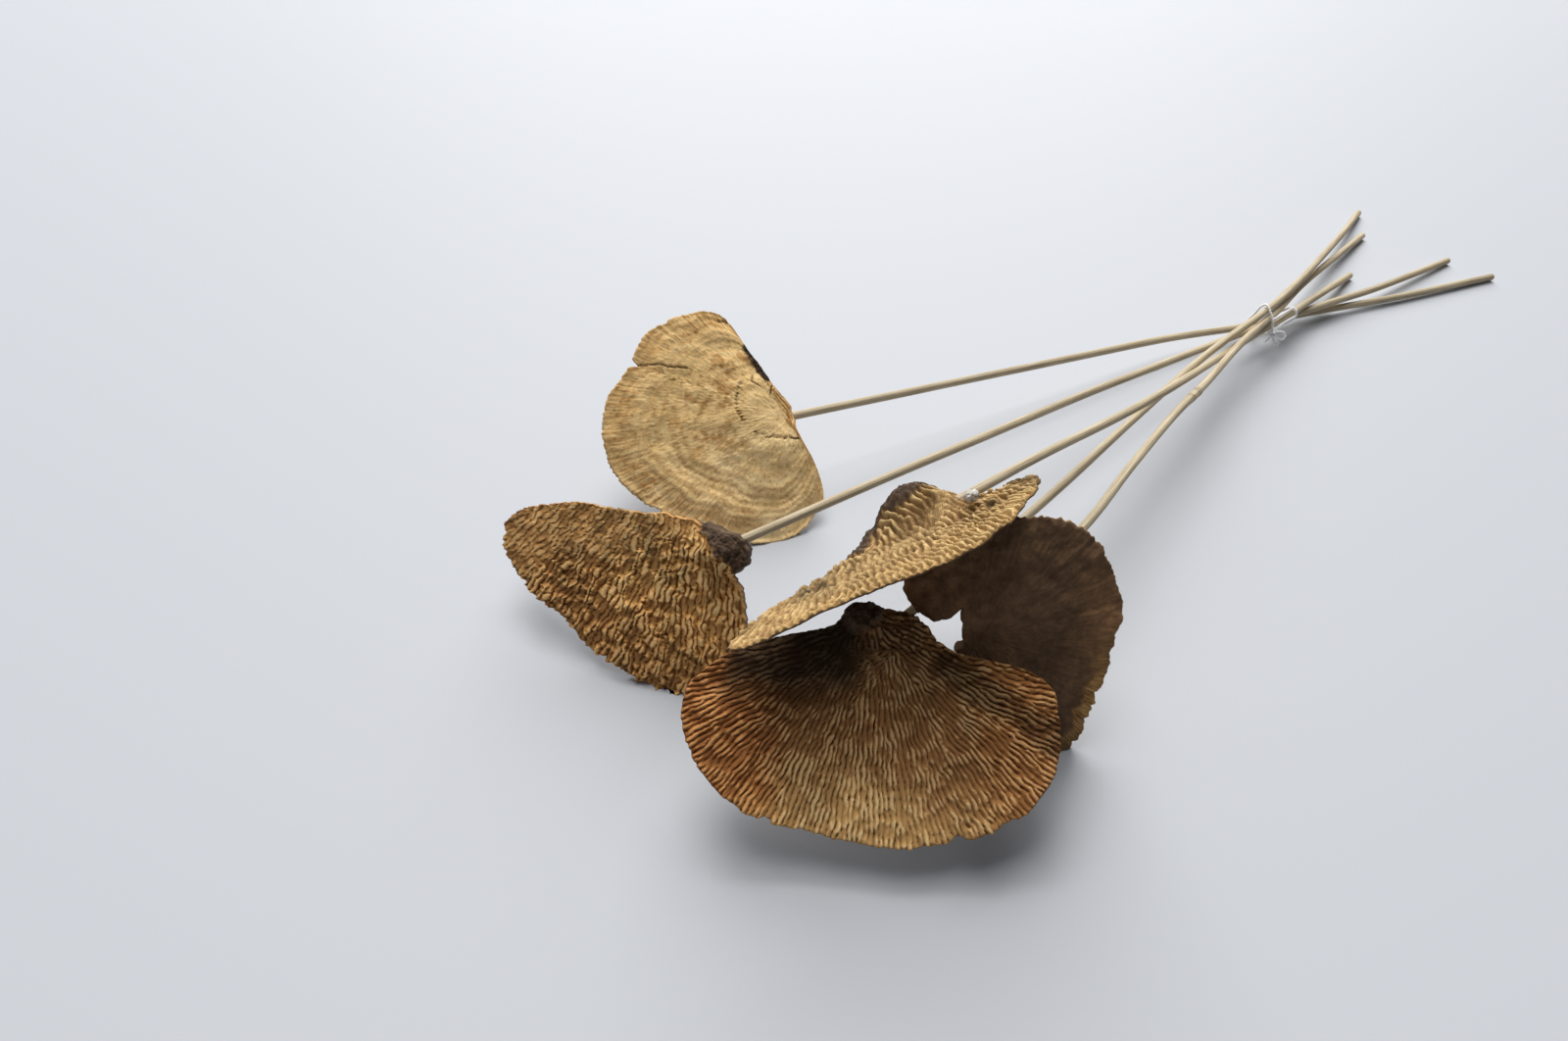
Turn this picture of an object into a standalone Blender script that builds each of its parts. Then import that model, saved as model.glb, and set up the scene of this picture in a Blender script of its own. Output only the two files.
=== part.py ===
"""A tied bunch of five dried bracket mushrooms on rattan stems, lying on a table.

Metres, +Z up. The bunch lies along X: the caps are at -X, the cut stem ends at +X.
The origin is under the middle of the bunch, on the table top.
"""
import bisect
import math

import bmesh
import bpy
from mathutils import Matrix, Vector

MM = 0.001

# Driving dimensions, in millimetres
STEM_RADIUS = 1.8
FIT_GAP = 0.35
SOCKET_DEPTH = 5.0
SOCKET_CLEAR = 30.0
STRING_RADIUS = 0.5

# The middle of the bunch, in the coordinates used below. It is moved to the origin at the end.
MIDDLE = (-3.6, 7.9)

GILL_ROWS = (0.14, 0.28, 0.42, 0.57, 0.72, 0.87, 1.0)
TOP_ROWS = (0.95, 0.72, 0.42, 0.16)
RIM_SAMPLES = 720

# Each cap: how many columns its grid has, two to a gill; where its centre of growth is, how it
# is turned, and its form in its own frame. In that frame X is the direction of growth and Z
# points out of the gill side. The outline is (angle from X in degrees, radius in mm); cup is how
# far the surface has risen 50 mm out along X and Y; a knob is (x, y, height, radius); a notch is
# cut out of the rim.
CAPS = {
    "cap_zoned": {
        "columns": 52,
        "centre": (-136.5, 68.7, 29.8),
        "heading": 156,
        "rise": -1,
        "roll": 144,
        "outline": (
            (-150, 7), (-122, 8), (-113, 13), (-108, 27), (-103, 36), (-92, 43), (-76, 50),
            (-55, 54), (-38, 56), (-22, 63), (0, 72), (20, 72), (35, 66), (50, 66), (66, 60),
            (75, 55), (80, 48), (83, 30), (91, 14), (115, 8), (150, 7),
        ),
        "cup": (3, 3),
        "knobs": ((-4, 0, 3, 9),),
        "rim": 2.6,
        "core": 10.5,
        "spread": 18,
        "gill_depth": 1.4,
        "tone": (0.66, 0.51, 0.31),
    },
    "cap_shaggy": {
        "columns": 60,
        "centre": (-217, 20, 38),
        "heading": 150,
        "rise": -28,
        "roll": -39,
        "outline": (
            (-165, 13), (-140, 13), (-100, 16), (-76, 25), (-60, 40), (-50, 67), (-41, 88),
            (-28, 79), (-13, 62), (0, 56), (19, 50), (43, 48), (58, 45), (75, 31), (100, 14),
            (140, 11),
        ),
        "cup": (-3, -7),
        "knobs": ((-6, -4, 8, 9),),
        "rim": 4.5,
        "core": 12.0,
        "spread": 18,
        "gill_depth": 2.6,
        "tone": (0.42, 0.25, 0.11),
    },
    "cap_upturned": {
        "columns": 60,
        "centre": (-154, -35, 64),
        "heading": -108,
        "rise": 38,
        "roll": 8,
        "outline": (
            (-165, 11), (-148, 26), (-135, 33), (-120, 36), (-108, 41), (-99, 56), (-91, 80),
            (-84, 95), (-77, 84), (-70, 66), (-60, 57), (-45, 52), (-30, 47), (-12, 38), (15, 29),
            (45, 27), (68, 26), (84, 14), (130, 9),
        ),
        "cup": (0, 0),
        "knobs": ((-12, -17, 10, 6), (-9.5, -6.5, 9, 5.5), (1, -5, 6, 5)),
        "rim": 2.8,
        "core": 6.5,
        "spread": 11,
        "gill_depth": 1.3,
        "tone": (0.62, 0.45, 0.22),
    },
    "cap_front": {
        "columns": 64,
        "centre": (-202, -48, 39),
        "heading": -142,
        "rise": -30,
        "roll": -2,
        "outline": (
            (-165, 13.5), (-135, 19), (-108, 20), (-95, 31), (-84, 50), (-72, 66), (-52, 70),
            (-33, 66), (-15, 60), (8, 60), (30, 62), (46, 64), (60, 61), (74, 55), (86, 47),
            (95, 21), (130, 14),
        ),
        "cup": (4, 6),
        "knobs": ((-4, 0, 10, 11),),
        "rim": 3.0,
        "core": 11.0,
        "spread": 18,
        "gill_depth": 1.8,
        "tone": (0.50, 0.31, 0.14),
    },
    "cap_upright": {
        "columns": 52,
        "centre": (-174, -63, 40),
        "heading": -51,
        "rise": 7,
        "roll": -116,
        "outline": (
            (-168, 14), (-156, 24), (-144, 29), (-120, 28), (-92, 34), (-68, 40), (-50, 45.5),
            (-32, 46), (-10, 45), (15, 43), (38, 46), (51, 52), (60, 55), (67, 50), (75, 31),
            (86, 19), (105, 11), (130, 10), (165, 10),
        ),
        "cup": (4, 5),
        "knobs": ((0.5, -0.5, 4.5, 7),),
        "notch": (
            (-19.5, -7.4), (-14.8, -4.3), (-9.4, -5.5), (-5.4, -9.4), (-5.4, -0.6), (-5.6, 4.4),
            (-9, 6.4), (-13, 12), (-24, 6),
        ),
        "rim": 2.6,
        "core": 8.0,
        "spread": 15,
        "gill_depth": 1.3,
        "tone": (0.10, 0.07, 0.05),
    },
}

# Each stem runs from inside its cap, through the tie, to a cut end on the table.
STEMS = {
    "stem_zoned": (
        (-135.1, 64.6, 33.5), (-42, 30, 23.6), (5.3, 13.5, 17.8), (57.7, -4.1, 10.7),
        (101.7, -23.9, 6.0), (136.5, -38.8, 4.1), (191, -67.2, 2.7), (246, -93.7, 1.9),
    ),
    "stem_shaggy": (
        (-206.4, 17.9, 46), (-136.4, 7.7, 38.3), (-84.2, -0.5, 32.5), (-23.7, -9.3, 25.1),
        (29.3, -18.5, 18.6), (74.8, -26.4, 13), (110, -34.1, 9.9), (151, -46.3, 8),
        (188, -57, 5.6), (246, -70.4, 1.9),
    ),
    "stem_upturned": (
        (-153.3, -34.7, 66), (-103.4, -34.9, 54.7), (-51.4, -36.6, 43), (-9.7, -37, 34),
        (43.7, -35.4, 22.1), (78.7, -35.1, 16.2), (115.7, -38.6, 14), (135.5, -39.1, 12.2),
        (168.5, -38.9, 6.2), (193, -38.7, 1.9),
    ),
    "stem_front": (
        (-199, -43.1, 42), (-112.4, -41.1, 36.5), (-33.9, -35.5, 29.8), (24.1, -31.7, 24.9),
        (59.6, -31.4, 23.1), (97, -32.3, 21.2), (134.1, -30.2, 18), (159.4, -27.4, 14.9),
        (224.3, -18.8, 6.6), (262.6, -12.7, 1.9),
    ),
    "stem_upright": (
        (-172, -61.5, 38.7), (-109.6, -59.6, 36.7), (-63.5, -53, 34.9), (-19.5, -47.2, 32.3),
        (12.8, -44.4, 29.7), (53.8, -38.6, 24), (81.5, -36, 20.4), (110.2, -33.8, 16.4),
        (156.8, -28.5, 10), (239, -25.5, 1.9),
    ),
}

# The string: a loop round all five stems, one round the lower three, strands between them and
# a small bow that hangs from the knot.
TIE_LOOP = (
    (93.9, -39.3, 15), (95.8, -37.6, 11.8), (98.3, -34.6, 9.3), (100.7, -31.8, 7.1),
    (103.2, -28.9, 4.5), (105.9, -25.7, 2.1), (107.4, -22.4, 5.2), (105.4, -23.8, 9.8),
    (103.3, -25.7, 13.6), (101.5, -27.2, 17.6), (99.6, -28.8, 21.4), (97.5, -31.6, 24.3),
    (95.4, -35.2, 22.6), (94, -38.1, 19.4),
)
LOWER_LOOP = (
    (115.8, -41.4, 13.9), (116.1, -40.2, 11.2), (116.4, -38.7, 8.6), (116.8, -36.7, 6.2),
    (117.2, -34.4, 4.2), (117.7, -32.1, 2.2), (118.3, -29.1, 2.2), (118.6, -27.5, 4.8),
    (118.3, -28.9, 7.6), (117.9, -31.1, 9.8), (117.5, -33.1, 12), (117.1, -35.2, 14.2),
    (116.7, -37.2, 16.5), (116.1, -40.1, 16.7),
)
TIE_STRANDS = (
    (LOWER_LOOP, True),
    (
        ((94.4, -37.5, 19.9), (98.5, -37.7, 19.1), (104, -37.8, 18), (110, -38, 17.3),
         (116.5, -38.4, 16.8)),
        False,
    ),
    (((94.2, -40, 13.6), (98, -40.4, 15.2), (104, -40.6, 15), (110, -41.1, 14.6),
      (115.8, -41.4, 13.9)), False),
    (((94.2, -40, 13), (94.3, -41.2, 10.4), (95.4, -42.8, 7.8), (97, -43.5, 6.8),
      (98, -42.7, 8.4), (96.8, -41.3, 11)), True),
    (((94.8, -40.4, 13.4), (95.3, -42.3, 11.8), (96.6, -44.3, 10.8), (98.3, -45, 11.6),
      (98.4, -43.7, 13.4), (96.6, -41.7, 14.2)), True),
    (((94.1, -39.9, 12.8), (93.7, -39.4, 10.6), (93.6, -38.4, 8.4)), False),
)
KNOT = (94.2, -40.1, 13.2)
KNOT_SIZE = (1.4, 1.3, 1.5)
# The blob of glue, in the frame of the upturned cap
GLUE = (10, 0.5, 3.6)
GLUE_SIZE = (3.4, 2.6, 2.2)


def smooth_step(low, high, value):
    t = min(1.0, max(0.0, (value - low) / (high - low)))
    return t * t * (3 - 2 * t)


def outline_radius(outline, degrees):
    """The rim's radius at an angle, on a smooth closed curve through the outline's points."""
    count = len(outline)
    angle = (degrees - outline[0][0]) % 360.0 + outline[0][0]
    start = bisect.bisect_right([point[0] for point in outline], angle) - 1

    def point(index):
        turn, place = divmod(index, count)
        return outline[place][0] + 360.0 * turn, outline[place][1]

    a0, r0 = point(start - 1)
    a1, r1 = point(start)
    a2, r2 = point(start + 1)
    a3, r3 = point(start + 2)
    t = (angle - a1) / (a2 - a1)
    slope1 = (r2 - r0) / (a2 - a0) * (a2 - a1)
    slope2 = (r3 - r1) / (a3 - a1) * (a2 - a1)
    return (
        (2 * t**3 - 3 * t**2 + 1) * r1
        + (t**3 - 2 * t**2 + t) * slope1
        + (3 * t**2 - 2 * t**3) * r2
        + (t**3 - t**2) * slope2
    )


def even_angles(outline, count):
    """Angles that are an equal length of rim apart."""
    angles = [360.0 * i / RIM_SAMPLES for i in range(RIM_SAMPLES + 1)]
    points = [
        outline_radius(outline, a) * Vector((math.cos(math.radians(a)), math.sin(math.radians(a))))
        for a in angles
    ]
    lengths = [0.0]
    for before, after in zip(points, points[1:]):
        lengths.append(lengths[-1] + (after - before).length)
    found = []
    for i in range(count):
        wanted = lengths[-1] * i / count
        at = bisect.bisect_right(lengths, wanted) - 1
        share = (wanted - lengths[at]) / (lengths[at + 1] - lengths[at])
        found.append(angles[at] + share * (angles[at + 1] - angles[at]))
    return found


def gill_height(cap, x, y):
    """Height of the gill side over the cap's own XY plane."""
    height = cap["cup"][0] * (x / 50) ** 2 + cap["cup"][1] * (y / 50) ** 2
    for knob_x, knob_y, rise, radius in cap["knobs"]:
        height += rise * math.exp(-((x - knob_x) ** 2 + (y - knob_y) ** 2) / (2 * radius**2))
    return height


def flesh(cap, x, y):
    """Thickness from the gill side through to the top side: thick at the base, thin at the rim."""
    middle = math.exp(-(x * x + y * y) / (2 * cap["spread"] ** 2))
    return cap["rim"] + (cap["core"] - cap["rim"]) * middle


def cap_matrix(cap):
    turn = (
        Matrix.Rotation(math.radians(cap["heading"]), 4, "Z")
        @ Matrix.Rotation(math.radians(-cap["rise"]), 4, "Y")
        @ Matrix.Rotation(math.radians(cap["roll"]), 4, "X")
    )
    return Matrix.Translation(Vector(cap["centre"]) * MM) @ turn


def cap_point(cap, degrees, share, side, groove):
    """A point of the cap in its own frame. share is 0 at the centre and 1 at the rim."""
    reach = outline_radius(cap["outline"], degrees) * share
    x = reach * math.cos(math.radians(degrees))
    y = reach * math.sin(math.radians(degrees))
    z = gill_height(cap, x, y)
    if side == "top":
        z -= flesh(cap, x, y)
    else:
        z -= groove * cap["gill_depth"] * smooth_step(0.1, 0.45, share)
    return Vector((x, y, z)) * MM


def material(name, tone, roughness):
    made = bpy.data.materials.new(name)
    made.use_nodes = True
    shader = made.node_tree.nodes["Principled BSDF"]
    shader.inputs["Base Color"].default_value = (*tone, 1.0)
    shader.inputs["Roughness"].default_value = roughness
    shader.inputs["Metallic"].default_value = 0.0
    made.diffuse_color = (*tone, 1.0)
    return made


def add_object(name, data, finish):
    made = bpy.data.objects.new(name, data)
    data.materials.append(finish)
    bpy.context.scene.collection.objects.link(made)
    return made


def make_cap(name, cap, finish):
    """A grid wrapped round the cap: its rows run from the gill side's centre over the rim to
    the top side's centre, and every second column is a groove between two gills."""
    rows = (
        [("gill", 0.0)]
        + [("gill", share) for share in GILL_ROWS]
        + [("top", share) for share in TOP_ROWS]
        + [("top", 0.0)]
    )
    columns = cap["columns"]
    angles = even_angles(cap["outline"], columns)
    bm = bmesh.new()
    bmesh.ops.create_grid(bm, x_segments=columns, y_segments=len(rows) - 1, size=1.0)
    for vert in bm.verts:
        column = round((vert.co.x + 1) / 2 * columns) % columns
        side, share = rows[round((vert.co.y + 1) / 2 * (len(rows) - 1))]
        vert.co = cap_point(cap, angles[column], share, side, column % 2)
    bmesh.ops.remove_doubles(bm, verts=bm.verts, dist=0.00002)
    bmesh.ops.transform(bm, matrix=cap_matrix(cap), verts=bm.verts)
    for vert in bm.verts:
        vert.co.z = max(vert.co.z, 0.0)
    bmesh.ops.recalc_face_normals(bm, faces=bm.faces)
    mesh = bpy.data.meshes.new(name)
    bm.to_mesh(mesh)
    bm.free()
    return add_object(name, mesh, finish)


def smooth_path(points, steps, closed=False):
    """Points on a smooth curve through the given ones, with this many steps between two."""
    knots = [Vector(point) for point in points]
    if closed:
        knots = [knots[-1]] + knots + knots[:2]
    else:
        knots = [2 * knots[0] - knots[1]] + knots + [2 * knots[-1] - knots[-2]]
    path = []
    for i in range(1, len(knots) - 2):
        p0, p1, p2, p3 = knots[i - 1 : i + 3]
        for step in range(steps):
            t = step / steps
            path.append(
                0.5
                * (
                    2 * p1
                    + (p2 - p0) * t
                    + (2 * p0 - 5 * p1 + 4 * p2 - p3) * t**2
                    + (3 * p1 - p0 - 3 * p2 + p3) * t**3
                )
            )
    if not closed:
        path.append(knots[-2])
    return path


def make_rod(name, path, radius, sides, finish, closed=False):
    """A round rod along a path in millimetres, as a curve with a bevel."""
    curve = bpy.data.curves.new(name, "CURVE")
    curve.dimensions = "3D"
    curve.bevel_depth = radius * MM
    curve.bevel_resolution = (sides - 4) // 2
    curve.use_fill_caps = not closed
    curve.twist_mode = "MINIMUM"
    spline = curve.splines.new("POLY")
    spline.points.add(len(path) - 1)
    for point, place in zip(spline.points, path):
        point.co = (*(place * MM), 1.0)
    spline.use_cyclic_u = closed
    spline.use_smooth = True
    return add_object(name, curve, finish)


def settle(thing):
    """Turn a rod, or a mesh with its Booleans, into one plain closed mesh."""
    depsgraph = bpy.context.evaluated_depsgraph_get()
    mesh = bpy.data.meshes.new_from_object(thing.evaluated_get(depsgraph))
    name, finish = thing.name, thing.data.materials[0]
    for modifier in thing.modifiers:
        bpy.data.objects.remove(modifier.object)
    bpy.data.objects.remove(thing)
    bm = bmesh.new()
    bm.from_mesh(mesh)
    bmesh.ops.remove_doubles(bm, verts=bm.verts, dist=0.00003)
    bmesh.ops.dissolve_degenerate(bm, edges=bm.edges, dist=0.00003)
    bmesh.ops.recalc_face_normals(bm, faces=bm.faces)
    bm.to_mesh(mesh)
    bm.free()
    mesh.materials.clear()
    return add_object(name, mesh, finish)


def combine(target, tool, operation):
    modifier = target.modifiers.new(tool.name, "BOOLEAN")
    modifier.operation = operation
    modifier.solver = "EXACT"
    modifier.object = tool
    tool.hide_render = True
    tool.display_type = "WIRE"


def make_blob(name, centre, size, finish):
    bm = bmesh.new()
    bmesh.ops.create_icosphere(bm, subdivisions=2, radius=1.0)
    bmesh.ops.scale(bm, vec=Vector(size) * MM, verts=bm.verts)
    bmesh.ops.translate(bm, vec=Vector(centre) * MM, verts=bm.verts)
    for face in bm.faces:
        face.smooth = True
    mesh = bpy.data.meshes.new(name)
    bm.to_mesh(mesh)
    bm.free()
    return add_object(name, mesh, finish)


def cut_notch(cap, place, corners, finish):
    """Cut a prism with these corners, in the cap's own plane, right through the cap."""
    bm = bmesh.new()
    low = [bm.verts.new(Vector((x, y, -30)) * MM) for x, y in corners]
    face = bm.faces.new(low)
    grown = bmesh.ops.extrude_face_region(bm, geom=[face])
    top = [item for item in grown["geom"] if isinstance(item, bmesh.types.BMVert)]
    bmesh.ops.translate(bm, vec=Vector((0, 0, 60)) * MM, verts=top)
    bmesh.ops.transform(bm, matrix=place, verts=bm.verts)
    bmesh.ops.recalc_face_normals(bm, faces=bm.faces)
    mesh = bpy.data.meshes.new("notch")
    bm.to_mesh(mesh)
    bm.free()
    combine(cap, add_object("notch", mesh, finish), "DIFFERENCE")
    return settle(cap)


def make_stem(name, cap, points, finish):
    """A reed stem, and its socket in the cap with room for the stem to go in."""
    first, second = Vector(points[0]), Vector(points[1])
    inward = (first - second).normalized()
    end = first + inward * SOCKET_DEPTH
    path = [end] + smooth_path(points, 2)
    settle(make_rod(name, path, STEM_RADIUS, 8, finish))
    way = [end + inward * FIT_GAP, first - inward * SOCKET_CLEAR]
    cutter = settle(make_rod(name + "_socket", way, STEM_RADIUS + 2 * FIT_GAP, 10, finish))
    combine(cap, cutter, "DIFFERENCE")
    settle(cap)


def make_tie(finish):
    """The string: one body of two loops, the strands between them, a knot and a bow."""
    loop = [Vector(point) for point in TIE_LOOP]
    tie = settle(make_rod("tie", loop, STRING_RADIUS, 6, finish, closed=True))
    combine(tie, make_blob("knot", KNOT, KNOT_SIZE, finish), "UNION")
    tie = settle(tie)
    for points, closed in TIE_STRANDS:
        path = [Vector(point) for point in points]
        strand = make_rod("strand", path, STRING_RADIUS, 6, finish, closed)
        combine(tie, settle(strand), "UNION")
        tie = settle(tie)


def build():
    for old in list(bpy.data.objects):
        bpy.data.objects.remove(old)
    reed = material("reed", (0.76, 0.62, 0.40), 0.6)
    string = material("string", (0.88, 0.87, 0.84), 0.9)
    glue = material("glue", (0.78, 0.78, 0.76), 0.35)
    for name, cap in CAPS.items():
        finish = material(name, cap["tone"], 0.9)
        stem_name = name.replace("cap", "stem")
        made = make_cap(name, cap, finish)
        if "notch" in cap:
            made = cut_notch(made, cap_matrix(cap), cap["notch"], finish)
        make_stem(stem_name, made, STEMS[stem_name], reed)
    make_tie(string)
    spot = cap_matrix(CAPS["cap_upturned"]) @ (Vector(GLUE) * MM)
    make_blob("glue_blob", spot / MM, GLUE_SIZE, glue)
    for piece in bpy.context.scene.objects:
        piece.data.transform(Matrix.Translation(Vector((-MIDDLE[0], -MIDDLE[1], 0)) * MM))


build()
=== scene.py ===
# %% [markdown]
# # A tied bunch of dried bracket mushrooms
# The real object is five dried bracket mushrooms, each pushed on a long rattan reed, and the
# reeds are tied together with white cotton string. The bunch lies on a table: three caps stand
# on their lower rims and the cut ends of the reeds touch the table top.
#
# The solid model gives the place and the form of every piece. This script keeps that form and
# grows the fine detail on it: gills, pores, zones, bark, reed grain and twisted string.

import bisect
import math

import bmesh
import bpy
import numpy as np
from mathutils import Matrix, Vector, noise


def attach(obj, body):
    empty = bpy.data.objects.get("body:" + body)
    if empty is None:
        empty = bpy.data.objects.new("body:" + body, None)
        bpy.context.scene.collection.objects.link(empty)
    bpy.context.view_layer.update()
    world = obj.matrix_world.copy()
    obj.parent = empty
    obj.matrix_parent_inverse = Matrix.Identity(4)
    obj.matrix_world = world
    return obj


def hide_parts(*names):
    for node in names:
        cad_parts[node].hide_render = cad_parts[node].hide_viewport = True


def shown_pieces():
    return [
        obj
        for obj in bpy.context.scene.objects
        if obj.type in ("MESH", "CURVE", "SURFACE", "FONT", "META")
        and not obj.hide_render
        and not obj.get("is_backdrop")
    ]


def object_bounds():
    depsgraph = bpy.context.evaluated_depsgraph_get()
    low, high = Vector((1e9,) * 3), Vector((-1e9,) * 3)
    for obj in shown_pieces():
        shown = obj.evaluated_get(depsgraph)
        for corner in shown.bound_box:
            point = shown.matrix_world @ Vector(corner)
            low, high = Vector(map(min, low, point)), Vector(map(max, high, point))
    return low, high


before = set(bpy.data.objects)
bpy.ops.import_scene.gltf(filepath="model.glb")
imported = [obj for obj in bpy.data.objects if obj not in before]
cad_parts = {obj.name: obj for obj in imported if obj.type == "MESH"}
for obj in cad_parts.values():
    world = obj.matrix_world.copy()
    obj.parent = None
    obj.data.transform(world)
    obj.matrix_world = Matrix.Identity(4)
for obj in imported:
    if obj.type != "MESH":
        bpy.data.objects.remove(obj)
solid_box = [[float(value) for value in corner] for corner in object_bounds()]
print("solids:", len(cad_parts), "box:", solid_box)

# %% [markdown]
# All tables below are in millimetres, in the coordinates in which the bunch was measured. The
# scene has its origin under the middle of the bunch, so one shift brings a point there.

# %% Millimetres to the scene
MM = 0.001
MIDDLE = (-3.6, 7.9)


def scene_place(point):
    """A point of the tables, in millimetres, as a point of the scene in metres."""
    return Vector((point[0] - MIDDLE[0], point[1] - MIDDLE[1], point[2])) * MM


print("the origin is at", scene_place((*MIDDLE, 0)))

# %% [markdown]
# The camera comes first, since every piece is judged through it. Nothing says where it really
# stood: a wide lens that looks down at 45 degrees is assumed, and its height of 31 cm over the
# table was chosen so that the reeds and the front cap get their usual sizes.

# %% Camera
CAMERA_PLACE = (-375, -172.5, 310)
CAMERA_PITCH = 45
CAMERA_HEADING = -45
LENS = 24.05


def place_camera():
    lens = bpy.data.cameras.new("camera")
    lens.lens = LENS
    lens.sensor_width = 36
    lens.clip_start = 0.01
    made = bpy.data.objects.new("camera", lens)
    made.location = scene_place(CAMERA_PLACE)
    made.rotation_euler = (math.radians(90 - CAMERA_PITCH), 0, math.radians(CAMERA_HEADING))
    bpy.context.scene.collection.objects.link(made)
    bpy.context.scene.camera = made
    return made


camera = place_camera()
print("camera at", tuple(camera.location))

# %% [markdown]
# Each cap is described by the same named values as its solid. In the cap's own frame X is the
# direction in which it grew and Z points out of its gill side. The outline is a list of
# (angle in degrees, radius in millimetres); cup says how the cap is dished; a knob is a swelling
# (x, y, height, radius) near its base; flesh is the thickness at the rim, at the base, and how
# far the thick part spreads.

# %% Values of the five caps
CAPS = {
    "cap_zoned": {
        "centre": (-136.5, 68.7, 29.8),
        "turned": (156, -1, 144),
        "outline": (
            (-150, 7), (-122, 8), (-113, 13), (-108, 27), (-103, 36), (-92, 43), (-76, 50),
            (-55, 54), (-38, 56), (-22, 63), (0, 72), (20, 72), (35, 66), (50, 66), (66, 60),
            (75, 55), (80, 48), (83, 30), (91, 14), (115, 8), (150, 7),
        ),
        "cup": (3, 3),
        "knobs": ((-4, 0, 3, 9),),
        "flesh": (2.6, 10.5, 18),
    },
    "cap_shaggy": {
        "centre": (-217, 20, 38),
        "turned": (150, -28, -39),
        "outline": (
            (-165, 13), (-140, 13), (-100, 16), (-76, 25), (-60, 40), (-50, 67), (-41, 88),
            (-28, 79), (-13, 62), (0, 56), (19, 50), (43, 48), (58, 45), (75, 31), (100, 14),
            (140, 11),
        ),
        "cup": (-3, -7),
        "knobs": ((-6, -4, 8, 9),),
        "flesh": (4.5, 12.0, 18),
    },
    "cap_upturned": {
        "centre": (-154, -35, 64),
        "turned": (-108, 38, 8),
        "outline": (
            (-165, 11), (-148, 26), (-135, 33), (-120, 36), (-108, 41), (-99, 56), (-91, 80),
            (-84, 95), (-77, 84), (-70, 66), (-60, 57), (-45, 52), (-30, 47), (-12, 38), (15, 29),
            (45, 27), (68, 26), (84, 14), (130, 9),
        ),
        "cup": (0, 0),
        "knobs": ((-12, -17, 10, 6), (-9.5, -6.5, 9, 5.5), (1, -5, 6, 5)),
        "flesh": (2.8, 6.5, 11),
    },
    "cap_front": {
        "centre": (-202, -48, 39),
        "turned": (-142, -30, -2),
        "outline": (
            (-165, 13.5), (-135, 19), (-108, 20), (-95, 31), (-84, 50), (-72, 66), (-52, 70),
            (-33, 66), (-15, 60), (8, 60), (30, 62), (46, 64), (60, 61), (74, 55), (86, 47),
            (95, 21), (130, 14),
        ),
        "cup": (4, 6),
        "knobs": ((-4, 0, 10, 11),),
        "flesh": (3.0, 11.0, 18),
    },
    "cap_upright": {
        "centre": (-174, -63, 40),
        "turned": (-51, 7, -116),
        "outline": (
            (-168, 14), (-156, 24), (-144, 29), (-120, 28), (-92, 34), (-68, 40), (-50, 45.5),
            (-32, 46), (-10, 45), (15, 43), (38, 46), (51, 52), (60, 55), (67, 50), (75, 31),
            (86, 19), (105, 11), (130, 10), (165, 10),
        ),
        "cup": (4, 5),
        "knobs": ((0.5, -0.5, 4.5, 7),),
        "flesh": (2.6, 8.0, 15),
    },
}
print("caps:", ", ".join(CAPS))

# %% [markdown]
# The form of a cap is the same as in the solid model: a smooth closed outline, a dished gill
# side with its knobs, and flesh that is thick at the base and thin at the rim. The solid's
# sockets for the reeds are hidden in the flesh, so the visible cap is closed there.

# %% Form of a cap
def smooth_step(low, high, value):
    t = np.clip((value - low) / (high - low), 0, 1)
    return t * t * (3 - 2 * t)


def hill(x, y, centre_x, centre_y, radius):
    """1 at the centre, and smoothly down to 0 further out."""
    return np.exp(-((x - centre_x) ** 2 + (y - centre_y) ** 2) / (2 * radius**2))


def outline_radius(outline, degrees):
    """The rim's radius at an angle, on a smooth closed curve through the outline's points."""
    count = len(outline)
    angle = (degrees - outline[0][0]) % 360.0 + outline[0][0]
    start = bisect.bisect_right([point[0] for point in outline], angle) - 1

    def point(index):
        turn, place = divmod(index, count)
        return outline[place][0] + 360.0 * turn, outline[place][1]

    (a0, r0), (a1, r1), (a2, r2), (a3, r3) = [point(start + i) for i in (-1, 0, 1, 2)]
    t = (angle - a1) / (a2 - a1)
    slope1 = (r2 - r0) / (a2 - a0) * (a2 - a1)
    slope2 = (r3 - r1) / (a3 - a1) * (a2 - a1)
    ends = (2 * t**3 - 3 * t**2 + 1) * r1 + (3 * t**2 - 2 * t**3) * r2
    return ends + (t**3 - 2 * t**2 + t) * slope1 + (t**3 - t**2) * slope2


def even_rim(outline, count):
    """Angles and radii at an equal length of rim apart, starting behind the base."""
    angles = np.linspace(180, 540, 2881)
    radii = np.array([outline_radius(outline, angle) for angle in angles])
    turn = np.radians(angles)
    x, y = radii * np.cos(turn), radii * np.sin(turn)
    length = np.concatenate([[0], np.cumsum(np.hypot(np.diff(x), np.diff(y)))])
    wanted = np.linspace(0, length[-1], count + 1)
    return np.interp(wanted, length, turn), np.interp(wanted, length, radii)


def gill_side(cap, x, y):
    height = cap["cup"][0] * (x / 50) ** 2 + cap["cup"][1] * (y / 50) ** 2
    for knob_x, knob_y, rise, radius in cap["knobs"]:
        height = height + rise * hill(x, y, knob_x, knob_y, radius)
    return height


def flesh(cap, x, y):
    rim, core, spread = cap["flesh"]
    return rim + (core - rim) * hill(x, y, 0, 0, spread)


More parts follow.
